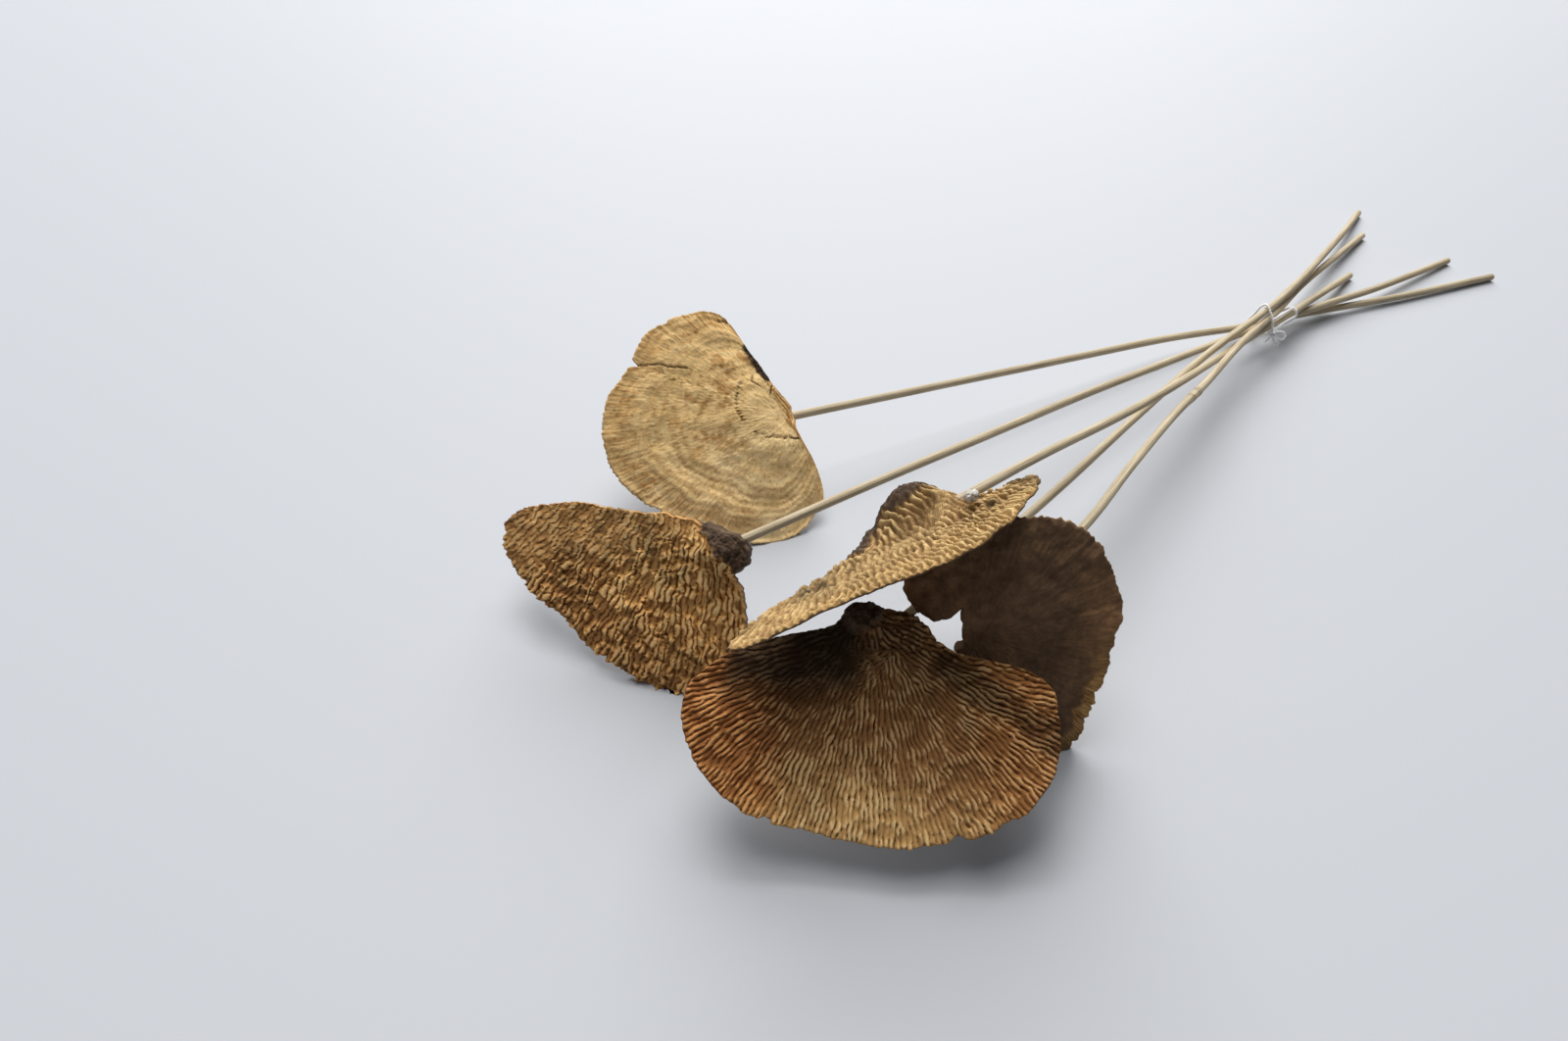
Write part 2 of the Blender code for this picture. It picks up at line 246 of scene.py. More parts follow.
def cap_matrix(cap):
    heading, rise, roll = cap["turned"]
    turn = Matrix.Rotation(math.radians(heading), 4, "Z")
    turn = turn @ Matrix.Rotation(math.radians(-rise), 4, "Y")
    turn = turn @ Matrix.Rotation(math.radians(roll), 4, "X")
    return Matrix.Translation(scene_place(cap["centre"])) @ turn


for cap_name, cap in CAPS.items():
    turn, radius = even_rim(cap["outline"], 90)
    rim = np.stack([radius * np.cos(turn), radius * np.sin(turn)], axis=1)
    across = np.linalg.norm(rim[:, None] - rim[None], axis=2).max()
    print(cap_name, "is", round(float(across)), "mm across at its widest")

# %% [markdown]
# Cloudy unevenness is wanted in many places: wander of the rim, warped zones, torn gill edges.
# One helper makes smooth seeded noise on a grid by keeping only the slow waves of white noise.

# %% Smooth noise
def read_grid(grid, cell, x, y):
    """The grid's value at points, straight between its four nearest cells."""
    half = grid.shape[0] / 2 - 0.5
    column = np.clip(x / cell + half, 0, grid.shape[0] - 1.001)
    row = np.clip(y / cell + half, 0, grid.shape[1] - 1.001)
    i, j = column.astype(int), row.astype(int)
    s, t = column - i, row - j
    near = grid[i, j] * (1 - t) + grid[i, j + 1] * t
    far = grid[i + 1, j] * (1 - t) + grid[i + 1, j + 1] * t
    return near * (1 - s) + far * s


def cloud(seed, width, x, y):
    """Seeded noise at points: features about width across, values from about -1 to 1."""
    cell = max(0.2, width / 5)
    reach = float(max(np.abs(x).max(), np.abs(y).max())) + 2 * cell
    count = 2 * int(reach / cell + 1)
    white = np.random.default_rng(seed).normal(0, 1, (count, count))
    fast = np.fft.fftfreq(count, cell)
    slow = np.fft.rfftfreq(count, cell)
    keep = np.exp(-((fast[:, None] ** 2 + slow[None, :] ** 2) * (width * 1.1) ** 2))
    soft = np.fft.irfft2(np.fft.rfft2(white) * keep, s=white.shape)
    return read_grid(np.clip(soft / (2 * soft.std()), -1.5, 1.5), cell, x, y)


print("a sample of noise:", np.round(cloud(1, 3.0, np.arange(5.0), np.zeros(5)), 2))

# %% [markdown]
# Gills form by themselves: a ridge grows where there is room for one, and flesh that is too
# close to a ridge stays low. A pattern equation with one favourite width imitates that. It
# starts from seeded noise; the term along the spokes makes the ridges run outwards from the
# base, and the pore term closes them up into a labyrinth. The equation is solved on a
# square grid over the cap, and the cap's mesh reads its height from there. The phase of the
# wave tells the two faces of a ridge apart, so that old gills can lean over like roof tiles.

# %% Grow a gill pattern
def gill_pattern(seed, reach, spacing, spokes, pores, steps, hub=(0, 0), cells=5.0):
    """Square grids in the cap's plane, and the size of their cells: the height of a ridge from 0
    to 1, and the climb, which rises from 0 in a gap over one face of a plate to 1 at its lip.
    The ridges run away from the hub."""
    cell = spacing / cells
    count = 2 * int(reach / cell)
    ridge = np.random.default_rng(seed).normal(0, 0.15, (count, count))
    wave = 2 * math.pi / spacing
    across = 2 * math.pi * np.fft.fftfreq(count, cell) / wave
    along = 2 * math.pi * np.fft.rfftfreq(count, cell) / wave
    square = across[:, None] ** 2 + along[None, :] ** 2
    pace = 0.6
    damping = 1 + pace * ((1 - square) ** 2 - 0.35)
    line = (np.arange(count) - count / 2 + 0.5) * cell
    x, y = np.meshgrid(line, line, indexing="ij")
    distance = np.hypot(x - hub[0], y - hub[1]) + 1e-9
    spoke_x, spoke_y = (x - hub[0]) / distance, (y - hub[1]) / distance

    def slope(field, way_x, way_y):
        slope_x = np.roll(field, -1, 0) - np.roll(field, 1, 0)
        slope_y = np.roll(field, -1, 1) - np.roll(field, 1, 1)
        return (way_x * slope_x + way_y * slope_y) / (2 * cell * wave)

    for _ in range(steps):
        bend = slope(slope(ridge, spoke_x, spoke_y), spoke_x, spoke_y)
        push = spokes * bend + pores * ridge**2 - ridge**3
        grown = np.fft.rfft2(ridge) + pace * np.fft.rfft2(push)
        ridge = np.fft.irfft2(grown / damping, s=ridge.shape)
    low, high = np.percentile(ridge, (2, 98))
    height = np.clip((ridge - low) / (high - low), 0, 1)
    turn = np.arctan2(slope(ridge, -spoke_y, spoke_x), ridge - (low + high) / 2)
    return height, turn / (2 * math.pi) + 0.5, cell


print("a gill pattern has", gill_pattern(1, 10, 2.0, 0.4, 0.0, 4)[0].shape, "cells per 20 mm")

# %% [markdown]
# A cap is one grid wrapped round the mushroom. Its columns run round the cap and its rows run
# from the middle of the gill side, over the rim, to the middle of the top side. The grid is
# made flat by one operator, its vertices are then moved to their places, and the seam and the
# two poles are merged.

# %% Wrap a grid round a form
def ended(bm, name, smooth=False):
    """The mesh of a bmesh, which is freed."""
    for face in bm.faces:
        face.smooth = smooth
    mesh = bpy.data.meshes.new(name)
    bm.to_mesh(mesh)
    bm.free()
    return mesh


def new_piece(name, mesh):
    made = bpy.data.objects.new(name, mesh)
    bpy.context.scene.collection.objects.link(made)
    return made


def count_triangles(mesh):
    return sum(len(polygon.vertices) - 2 for polygon in mesh.polygons)


def keep_values(mesh, values):
    """Store a number, or a vector, for every vertex, so that a material can read it."""
    for name, value in values.items():
        value = np.asarray(value, dtype=np.float32)
        kind, key = ("FLOAT_VECTOR", "vector") if value.ndim == 3 else ("FLOAT", "value")
        stored = mesh.attributes.new(name, kind, "POINT")
        stored.data.foreach_set(key, value.ravel())


SAME_PLACE = 0.0000002


def wrapped_grid(name, points, values):
    """A closed mesh from scene points[row, column]; its last column repeats its first."""
    rows, columns = points.shape[:2]
    bm = bmesh.new()
    bmesh.ops.create_grid(bm, x_segments=columns - 1, y_segments=rows - 1, size=1.0)
    loose = ended(bm, "loose")
    loose.vertices.foreach_set("co", points.astype(np.float32).ravel())
    keep_values(loose, values)
    bm = bmesh.new()
    bm.from_mesh(loose)
    bpy.data.meshes.remove(loose)
    bmesh.ops.remove_doubles(bm, verts=bm.verts, dist=SAME_PLACE)
    bmesh.ops.recalc_face_normals(bm, faces=bm.faces)
    return ended(bm, name, smooth=True)


print("the grid wrapper is ready")

# %% [markdown]
# This recipe makes any of the five caps. The rim is frayed first, then the gills are cut into the
# gill side, crusts of old bark and torn pits are laid over them, and last the top side gets its own
# relief. On the front cap that crust is partly painted shade over its shadowed knob. Each vertex
# remembers how high on a gill it is, which side it is on, how far out, and whether it is crust, so
# that the material can colour them apart.

# %% Recipe of a cap
def rows_of_cap(gill_rows, top_rows, rim_rows=3):
    """Share of the way out and side (0 gill, 1 top) of every row of the wrapped grid."""
    gill = np.linspace(0, 1, gill_rows + 1) ** 0.9
    rim = np.linspace(0, 1, rim_rows + 2)[1:-1]
    top = np.linspace(1, 0, top_rows + 1) ** 0.9
    share = np.concatenate([gill, np.ones(rim_rows), top])
    side = np.concatenate([np.zeros(len(gill)), rim, np.ones(len(top))])
    return share, side


def frayed_rim(cap, columns, wear, spare, chips, seed):
    """The rim's angles and radii, frayed, and with bites out of it."""
    turn, radius = even_rim(cap["outline"], columns)
    x, y = radius * np.cos(turn), radius * np.sin(turn)
    fray = 0.6 * cloud(seed, 1.6, x, y) + 0.5 * cloud(seed + 1, 4, x, y)
    radius = radius + spare + wear * (fray + 0.6 * cloud(seed + 2, 11, x, y))
    for degrees, bite, width in chips:
        apart = (turn - math.radians(degrees) + math.pi) % (2 * math.pi) - math.pi
        radius = radius - bite * np.exp(-((apart * radius / width) ** 2))
    return turn, radius


def make_cap(name, columns, gill_rows, top_rows, pattern, plate, depth, crinkle=0.3, sway=0.0,
             lean=(0, 0), shingled=0.0, widen=0.0, tear=0.0, wear=0.6, spare=0.0, chips=(),
             steep=0.0, crust_and_shade=None, crust_rise=0.0, calm=None, pits=(), relief=None, tints=None,
             seed=1):
    """plate says from where to where in the pattern a gill rises from its gap to its edge.
    shingled, from 0 to 1, makes the gills lean over each other; widen spreads them outwards;
    steep keeps the pattern from being stretched on the outer side of a knob; calm gives, from
    0 to 1, where the gills are low."""
    cap = CAPS[name]
    turn, radius = frayed_rim(cap, columns, wear, spare, chips, seed + 20)
    share, side = rows_of_cap(gill_rows, top_rows)
    angle, out = np.meshgrid(turn, share)
    side = np.repeat(side[:, None], columns + 1, axis=1)
    x = radius * out * np.cos(angle)
    y = radius * out * np.sin(angle)

    bark_and_shade = np.zeros_like(x) if crust_and_shade is None else crust_and_shade(x, y, side)
    grown = smooth_step(0.0, 0.04, out) * (1 - bark_and_shade) * (1 - side)
    bent_x = x + crinkle * cloud(seed + 8, 2.2, x, y) + 2 * crinkle * cloud(seed + 9, 6, x, y)
    bent_y = y + crinkle * cloud(seed + 10, 2.2, x, y) + 2 * crinkle * cloud(seed + 11, 6, x, y)
    bent_x, bent_y = bent_x * (1 - widen * out), bent_y * (1 - widen * out)
    bent_x = bent_x - steep * gill_side(cap, x, y)
    height, climb, cell = gill_pattern(**pattern)
    ridge = smooth_step(*plate, read_grid(height, cell, bent_x, bent_y))
    climb = read_grid(climb, cell, bent_x, bent_y)
    leaning = 0.72 * smooth_step(0.0, 0.3, climb) + 0.28 * climb
    ridge = ridge * (1 - shingled) + leaning * shingled
    broken = 0.35 * cloud(seed, 1.4, x, y) + 0.9 * cloud(seed + 1, 4.0, x, y)
    edge = ridge * (1 - tear * smooth_step(-0.3, 0.5, broken))

    base = gill_side(cap, x, y)
    thick = flesh(cap, x, y)
    deep = np.minimum(depth, thick - 0.7)
    if calm is not None:
        deep = deep * (1 - 0.65 * calm(x, y))
    swell = 0.5 * cloud(seed + 3, 9, x, y) * smooth_step(0.0, 0.3, out)
    rough = 0.7 * cloud(seed + 4, 1.2, x, y) + 0.8 * cloud(seed + 5, 3.5, x, y)
    gill_z = base + swell - deep * (1 - edge) * grown + bark_and_shade * (crust_rise + 0.6 * rough)
    for pit_x, pit_y, pit_depth, pit_radius in pits:
        gill_z = gill_z - pit_depth * hill(x, y, pit_x, pit_y, pit_radius)
    raised = np.zeros_like(x) if relief is None else relief(x, y, out, angle)
    top_z = base + swell - thick + (raised + 0.5 * bark_and_shade * rough)
    thin = 0.8 * smooth_step(0.86, 1.0, out)
    top_z = np.minimum(top_z + thin, gill_z - 0.35)
    z = gill_z * (1 - side) + top_z * side

    cut_back = 0.5 * (1 - edge) * smooth_step(0.93, 1.0, out) * (1 - side)
    outwards = 0.35 * np.sin(math.pi * side) - cut_back
    free = edge * grown * smooth_step(1.0, 0.93, out)
    push_x = (lean[0] + sway * cloud(seed + 6, 3.5, x, y)) * free
    push_y = (lean[1] + sway * cloud(seed + 7, 3.5, x, y)) * free
    x = x + outwards * np.cos(angle) + push_x
    y = y + outwards * np.sin(angle) + push_y

    points = np.stack([x, y, z], axis=2) * MM
    points[:, -1] = points[:, 0]
    points[0] = points[0].mean(axis=0)
    points[-1] = points[-1].mean(axis=0)
    matrix = cap_matrix(cap)
    points = points @ np.array(matrix.to_3x3()).T + np.array(matrix.translation)
    points = np.clip(points, solid_box[0], solid_box[1])
    spoke = np.stack([np.cos(angle), np.sin(angle), out], axis=2)
    values = {"edge": edge * grown + 0.3 * (1 - grown) * (1 - side), "side": side, "out": out,
              "crust_and_shade": bark_and_shade, "spoke": spoke}
    values.update(tints(x, y, out, angle) if tints else {})
    piece = new_piece(name + "_flesh", wrapped_grid(name + "_flesh", points, values))
    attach(piece, "root")
    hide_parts(name)
    print(name, "triangles:", count_triangles(piece.data))
    return piece


def along_line(corners, x, y):
    """Distance in millimetres from a bent line through the corners."""
    nearest = np.full(np.shape(x), 1e9)
    for (x0, y0), (x1, y1) in zip(corners, corners[1:]):
        run_x, run_y = x1 - x0, y1 - y0
        share = np.clip(((x - x0) * run_x + (y - y0) * run_y) / (run_x**2 + run_y**2), 0, 1)
        nearest = np.minimum(nearest, np.hypot(x - x0 - share * run_x, y - y0 - share * run_y))
    return nearest


print("the cap recipe is ready")

# %% [markdown]
# The front cap shows its gill side: thin wavy gills, forked here and there, pale at their edges,
# which is partly a painted highlight. They are widest and palest at the front, and warmer on the
# two wings. A painted shadow of the upturned cap lies on its upper left, a painted shadow of the
# upright cap on its right wing, and painted shade darkens the ground round its knob.

# %% Front cap
# Dark crust on the front cap's knob: partly real crust, and partly painted shade of the knob, which
# lies in shadow.
def front_crust_and_shade(x, y, side):
    lump = hill(x, y, -11, -10, 6) + 0.1 * cloud(31, 2.5, x, y)
    return smooth_step(0.45, 0.75, lump) * (1 - side)


# The patch on the upper left of the gill side that lies in the upturned cap's shadow. There the
# colour is darkened, partly the flesh's own grey-brown and partly a painted shadow, and the gills
# are kept low.
def front_shadow_patch(x, y):
    left = smooth_step(-57, -48, y) * smooth_step(-2, -14, y)
    return left * smooth_step(25, 11, x + 0.2 * y + 8 + 1.8 * cloud(32, 14, x, y))


def front_tints(x, y, out, angle):
    wander = 6 * cloud(32, 14, x, y)
    shadow_patch = front_shadow_patch(x, y)
    # Painted shade round the knob, which lies in shadow.
    base = smooth_step(15, 0, x + 0.3 * wander) * smooth_step(-20, -8, y) * smooth_step(20, 6, y)
    # Painted shadow of the upright cap, a strip along a bent line on the right wing.
    right = smooth_step(6.5, 3, along_line(((2, 18), (12, 36), (22, 52)), x, y) + 0.3 * wander)
    wing = smooth_step(20, 42, y + wander)
    return {
        "pale": smooth_step(24, 52, x - 0.25 * np.abs(y) + wander),
        "warm": np.maximum(smooth_step(-22, -44, y + wander), 0.6 * wing),
        # This darkening is mostly painted shadow and painted shade; on the other caps the same
        # value is real dirt.
        "dirt": np.maximum(np.maximum(shadow_patch, 0.4 * base), 0.62 * right),
    }


front = make_cap(
    "cap_front", columns=1080, gill_rows=76, top_rows=10,
    pattern={"seed": 3, "reach": 72, "spacing": 1.45, "spokes": 1.5, "pores": -0.1, "steps": 60,
             "hub": (-9, -8)},
    plate=(0.1, 0.7), depth=2.4, crinkle=0.2, sway=0.4, lean=(0.1, 0.3), shingled=0.8, widen=0.16,
    tear=0.32, wear=0.6, spare=0.5, crust_and_shade=front_crust_and_shade, crust_rise=3.5, calm=front_shadow_patch,
    chips=((-31, 1.6, 2.0), (24, 2.2, 2.5), (39, 1.4, 3.0)), tints=front_tints, seed=30,
)

# %% [markdown]
# The shaggy cap on the left is older. Its gills are coarse and torn into teeth and flaps, and
# a chunk of dark bark from the tree is still on its base.

# %% Shaggy cap
def shaggy_crust(x, y, side):
    limit = -4.6 + 1.3 * cloud(71, 3, x, y) + 2.5 * side
    return smooth_step(limit, limit - 1.6, x + 0.12 * y)


def shaggy_calm(x, y):
    return smooth_step(0, -12, y + 6 + 0.35 * x + 5 * cloud(74, 9, x, y))


def shaggy_tints(x, y, out, angle):
    wander = 7 * cloud(72, 12, x, y)
    calm = shaggy_calm(x, y)
    return {
        "pale": smooth_step(46, 10, x + 0.3 * y + wander) * (1 - 0.7 * calm),
        "dirt": 0.3 * smooth_step(0.2, 0.8, cloud(73, 9, x, y)) + 0.2 * calm,
    }


shaggy = make_cap(
    "cap_shaggy", columns=560, gill_rows=156, top_rows=12,
    pattern={"seed": 7, "reach": 92, "spacing": 2.2, "spokes": 2.6, "pores": 0.0, "steps": 60,
             "hub": (-65, -78)},
    plate=(0.15, 0.8), depth=3.2, crinkle=0.42, sway=0.8, lean=(-0.4, 0.7), shingled=0.8,
    tear=0.55, wear=1.5, spare=1.0, chips=((-41, 2.2, 7), (132, 4.0, 4.5)), crust_and_shade=shaggy_crust,
    calm=shaggy_calm, tints=shaggy_tints, seed=70,
)

# %% [markdown]
# The upturned cap is the palest. Its gills have closed up into a labyrinth of pores. Dark
# crust is left behind its knob, there is some dirt in the pores of its long tip, and it is
# torn beside the drop of glue that holds it on its reed.

# %% Upturned cap
DOME_RIM = ((-10.6, -2.8), (-22, -13.8), (-23.3, -23.3), (-18, -31.2), (-13, -35))


def upturned_crust(x, y, side):
    ragged = 0.8 * cloud(51, 2.5, x, y)
    rim = smooth_step(4.4, 3.0, along_line(DOME_RIM, x, y) + ragged - 5 * side)
    rise = 10 * hill(x, y, -12, -17, 6) + 9 * hill(x, y, -9.5, -6.5, 5.5)
    dome = smooth_step(7.6, 8.6, rise + ragged) * smooth_step(-4.5, -7, x)
    behind = smooth_step(-12.5, -14, x + ragged)
    return np.maximum(np.maximum(rim, dome), behind)


def upturned_tints(x, y, out, angle):
    grime = 0.5 + 0.5 * cloud(52, 3, x, y)
    tips = np.maximum(hill(x, y, 0, -60, 7), hill(x, y, 7, 24, 5))
    torn = hill(x, y, 13, 4.5, 1.8) + 0.8 * hill(x, y, 1, -45, 0.9)
    return {
        "dirt": np.clip(1.1 * grime * tips + 1.1 * torn, 0, 1),
        "pale": smooth_step(16, 26, x + 0.05 * np.abs(y + 20)),
    }


upturned = make_cap(
    "cap_upturned", columns=840, gill_rows=86, top_rows=14,
    pattern={"seed": 5, "reach": 101, "spacing": 2.4, "spokes": 0.35, "pores": -0.3, "steps": 50,
             "hub": (-40, -20)},
    plate=(0.25, 0.8), depth=2.9, crinkle=0.35, sway=0.4, shingled=0.35, tear=0.4, wear=0.7,
    steep=0.9, crust_and_shade=upturned_crust, pits=((13, 4.5, 2.4, 1.3), (16, 8, 1.2, 1.0)),
    tints=upturned_tints, seed=50,
)

# %% [markdown]
# The zoned cap at the back turns its top side up. It is straw coloured, with faint rings like a
# tree's, brown streaks at the rim, and a few dry cracks. Painted light makes the right side of its
# top lighter and bluer.

# %% Zoned cap
ZONED_CRACKS = (
    ((12.6, 18.6), (16.5, 12), (17.5, 7), (16.1, 1.7)),
    ((13.5, -3.3), (9, -7), (3, -9), (-3.5, -11)),
    ((50.6, 38.5), (42, 36), (36, 33), (31, 31.5)),
    ((2.5, 10), (0, 14), (-1.5, 17)),
    ((5.5, 14.5), (8, 17.5), (6.5, 20)),
    ((12.5, 48.5), (10.5, 47.5), (8.5, 46.5)),
)
ZONED_RINGS = (0.47, 0.56, 0.63, 0.69, 0.745, 0.775, 0.83, 0.87, 0.93)


def zoned_crust(x, y, side):
    strip = ((5.0, 33.5), (3.6, 25), (2.0, 17.5))
    return smooth_step(1.9, 1.0, along_line(strip, x, y) + 0.5 * cloud(913, 2, x, y))


def zoned_crack(x, y):
    wobble_x = x + 0.5 * cloud(911, 2.2, x, y)
    wobble_y = y + 0.5 * cloud(912, 2.2, x, y)
    deepest = np.zeros_like(x)
    for corners in ZONED_CRACKS:
        reach = along_line(corners, wobble_x, wobble_y)
        deepest = np.maximum(deepest, np.exp(-((reach / 0.27) ** 2)))
    return deepest


def zoned_rings(x, y, out):
    return out + 0.03 * cloud(901, 16, x, y) + 0.010 * cloud(902, 5, x, y)


def zoned_relief(x, y, out, angle):
    ring = zoned_rings(x, y, out)
    steps = 0.10 * np.sin(ring * 95) + 0.3 * np.sin(ring * 26)
    spread = 110 * np.cos(angle), 110 * np.sin(angle)
    fibres = cloud(903, 1.3, *spread) * smooth_step(0.72, 0.86, out)
    cracked = 1.1 * zoned_crack(x, y)
    bits = 0.22 * cloud(904, 1.0, x, y) + 0.4 * cloud(905, 6, x, y)
    return -(steps * smooth_step(0.15, 0.4, out)) + 0.12 * fibres + 0.6 * bits + cracked


def zoned_tints(x, y, out, angle):
    ring = zoned_rings(x, y, out)
    middle = smooth_step(0.2, 0.34, ring) * smooth_step(0.72, 0.56, ring)
    patches = cloud(906, 8, x, y) + 0.6 * cloud(907, 2.5, x, y)
    upper = smooth_step(-24, 0, y + 4 * cloud(908, 9, x, y))
    lines = sum(hill(ring, 0 * ring, place, 0, 0.007) for place in ZONED_RINGS)
    return {
        "crack": zoned_crack(x, y),
        "stain": middle * upper * smooth_step(-0.35, 0.6, patches),
        "rings": lines * (0.6 + 0.6 * cloud(910, 9, x, y)),
        "band": smooth_step(0.79, 0.90, ring) * smooth_step(-46, -30, y),
        # Painted light: a lighter, bluer pool over the right side of the top.
        "bright": smooth_step(10, -18, y + 0.3 * x - 12 + 4 * cloud(909, 10, x, y)),
    }


zoned = make_cap(
    "cap_zoned", columns=680, gill_rows=36, top_rows=80,
    pattern={"seed": 9, "reach": 76, "spacing": 2.2, "spokes": 0.35, "pores": -0.2, "steps": 40},
    plate=(0.1, 0.9), depth=1.5, tear=0.3, wear=0.45, crust_and_shade=zoned_crust, relief=zoned_relief,
    chips=((37.3, 3.2, 1.2), (58, 1.2, 2.0), (-20, 1.0, 1.6), (-40, 1.5, 2.5), (180, 2.5, 6)),
    tints=zoned_tints, seed=90,
)

# %% [markdown]
# The upright cap on the right shows its top side too. It is dark brown and nearly smooth, has
# a notch torn into its base, and a fringe of ochre gills shows along its right rim, where the
# dark rind has worn back.

# %% Upright cap
NOTCH = (
    (-19.5, -7.4), (-14.8, -4.3), (-9.4, -5.5), (-5.4, -9.4), (-6.3, -5.2), (-4.9, -2.6),
    (-5.9, 1), (-5.1, 4.4),
    (-9, 6.4), (-13, 12), (-24, 6),
)


def upright_relief(x, y, out, angle):
    ring = out + 0.04 * cloud(921, 14, x, y)
    spread = 70 * np.cos(angle), 70 * np.sin(angle)
    wrinkles = cloud(922, 3.0, *spread) * smooth_step(0.3, 0.9, out)
    bits = 0.2 * cloud(923, 1.0, x, y) + 0.5 * cloud(924, 5, x, y)
    return 0.25 * np.sin(ring * 24) * smooth_step(0.3, 0.6, out) + 0.25 * wrinkles + bits


def upright_tints(x, y, out, angle):
    turn = (angle + math.pi) % (2 * math.pi) - math.pi
    right = hill(turn, 0 * turn, 0.05, 0, 0.35) * smooth_step(0.5, 0.95, out)
    lobe = 1.2 * hill(x, y, -20, -14, 12)
    return {
        "pale": np.maximum(right, lobe) * (0.7 + 0.3 * cloud(925, 5, x, y)),
        "fringe": smooth_step(0.88, 0.94, out + 0.04 * cloud(927, 4, x, y))
        * hill(turn, 0 * turn, 0.62, 0, 0.28),
    }


def cut_through(piece, corners, matrix):
    """Cut a prism with these corners, in the cap's own plane, through the piece."""
    bm = bmesh.new()
    low = [bm.verts.new(Vector((x, y, -30)) * MM) for x, y in corners]
    grown = bmesh.ops.extrude_face_region(bm, geom=[bm.faces.new(low)])
    top = [item for item in grown["geom"] if isinstance(item, bmesh.types.BMVert)]
    bmesh.ops.translate(bm, vec=Vector((0, 0, 60)) * MM, verts=top)
    bmesh.ops.transform(bm, matrix=matrix, verts=bm.verts)
    bmesh.ops.recalc_face_normals(bm, faces=bm.faces)
    cutter = new_piece("notch", ended(bm, "notch"))
    cut = piece.modifiers.new("notch", "BOOLEAN")
    cut.operation = "DIFFERENCE"
    cut.solver = "EXACT"
    cut.object = cutter
    depsgraph = bpy.context.evaluated_depsgraph_get()
    result = bpy.data.meshes.new_from_object(piece.evaluated_get(depsgraph))
    piece.modifiers.clear()
    piece.data = result
    bpy.data.objects.remove(cutter)


upright = make_cap(
    "cap_upright", columns=620, gill_rows=40, top_rows=60,
    pattern={"seed": 11, "reach": 60, "spacing": 2.0, "spokes": 0.3, "pores": -0.2, "steps": 40},
    plate=(0.1, 0.9), depth=1.5, tear=0.4, wear=0.8, spare=0.8, relief=upright_relief,
    tints=upright_tints,
    chips=((33, 1.5, 2.0), (45, 1.2, 1.5), (12, 0.9, 1.2)), seed=110,
)
cut_through(upright, NOTCH, cap_matrix(CAPS["cap_upright"]))
print("after the notch:", count_triangles(upright.data))

# %% [markdown]
# The reeds and the string are tubes along smooth paths. To keep a tube from twisting, its two
# side directions are carried along the path from one place to the next.

# %% Tubes along a path
def smooth_path(points, steps, closed=False):
    """Places on a smooth curve through the points."""
    knots = [Vector(point) for point in points]
    if closed:
        knots = [knots[-1]] + knots + knots[:2]
    else:
        knots = [2 * knots[0] - knots[1]] + knots + [2 * knots[-1] - knots[-2]]
    path = []
    for i in range(1, len(knots) - 2):
        p0, p1, p2, p3 = knots[i - 1 : i + 3]
        for step in range(steps):
            t = step / steps
            straight = 2 * p1 + (p2 - p0) * t
            bend = (2 * p0 - 5 * p1 + 4 * p2 - p3) * t**2
            path.append(0.5 * (straight + bend + (3 * p1 - p0 - 3 * p2 + p3) * t**3))
    path.append(path[0] if closed else knots[-2])
    return path


def even_path(points, spacing, closed=False):
    """Places an equal distance apart, two side directions at each, and the distances."""
    rough = np.array([tuple(place) for place in smooth_path(points, 16, closed)])
    gaps = np.linalg.norm(np.diff(rough, axis=0), axis=1)
    length = np.concatenate([[0], np.cumsum(gaps)])
    wanted = np.linspace(0, length[-1], max(3, int(length[-1] / spacing)) + 1)
    places = np.stack([np.interp(wanted, length, rough[:, i]) for i in range(3)], axis=1)
    ahead = np.gradient(places, axis=0)
    if closed:
        ahead[0] = ahead[-1] = places[1] - places[-2]
    ahead /= np.linalg.norm(ahead, axis=1)[:, None]
    first = Vector(ahead[0]).orthogonal().normalized()
    firsts = []
    for direction in ahead:
        first = first - Vector(direction) * first.dot(Vector(direction))
        first.normalize()
        firsts.append(tuple(first))
    firsts = np.array(firsts)
    seconds = np.cross(ahead, firsts)
    if closed:
        gap = math.atan2(firsts[0] @ seconds[-1], firsts[0] @ firsts[-1])
        turn = (wanted / wanted[-1] * gap)[:, None]
        firsts, seconds = (np.cos(turn) * firsts + np.sin(turn) * seconds,
                           np.cos(turn) * seconds - np.sin(turn) * firsts)
    return places, firsts, seconds, wanted


def tube(name, places, firsts, seconds, radii, values=None, closed=False):
    """A tube whose radius is given for every row and column; open ends are closed flat."""
    columns = radii.shape[1]
    angle = np.linspace(0, 2 * math.pi, columns)
    first_share, second_share = np.cos(angle)[None, :, None], np.sin(angle)[None, :, None]
    round_way = first_share * firsts[:, None] + second_share * seconds[:, None]
    points = places[:, None] + radii[:, :, None] * round_way
    if closed:
        points[-1] = points[0]
    else:
        start = np.repeat(places[:1, None], columns, axis=1)
        end = np.repeat(places[-1:, None], columns, axis=1)
        points = np.concatenate([start, points, end])
        values = {key: np.concatenate([value[:1], value, value[-1:]])
                  for key, value in (values or {}).items()}
    points[:, -1] = points[:, 0]
    points = (points - np.array([MIDDLE[0], MIDDLE[1], 0])) * MM
    points[:, :, 2] = np.maximum(points[:, :, 2], 0.0)
    return wrapped_grid(name, points, values or {})


print("tubes are ready")

# %% [markdown]
# The stems are round rattan reeds, about 3.6 mm thick. A reed has fine grooves and dark pores
# along it, is a little uneven, and has a swelling where a leaf grew. Each is pushed 5 mm into
# its cap, and the other end is cut straight across.

# %% Reed stems
STEM_RADIUS = 1.8
SOCKET_DEPTH = 5.0
REED_STEP = 1.2
REED_COLUMNS = 25
NODE_WIDTH = 2.4

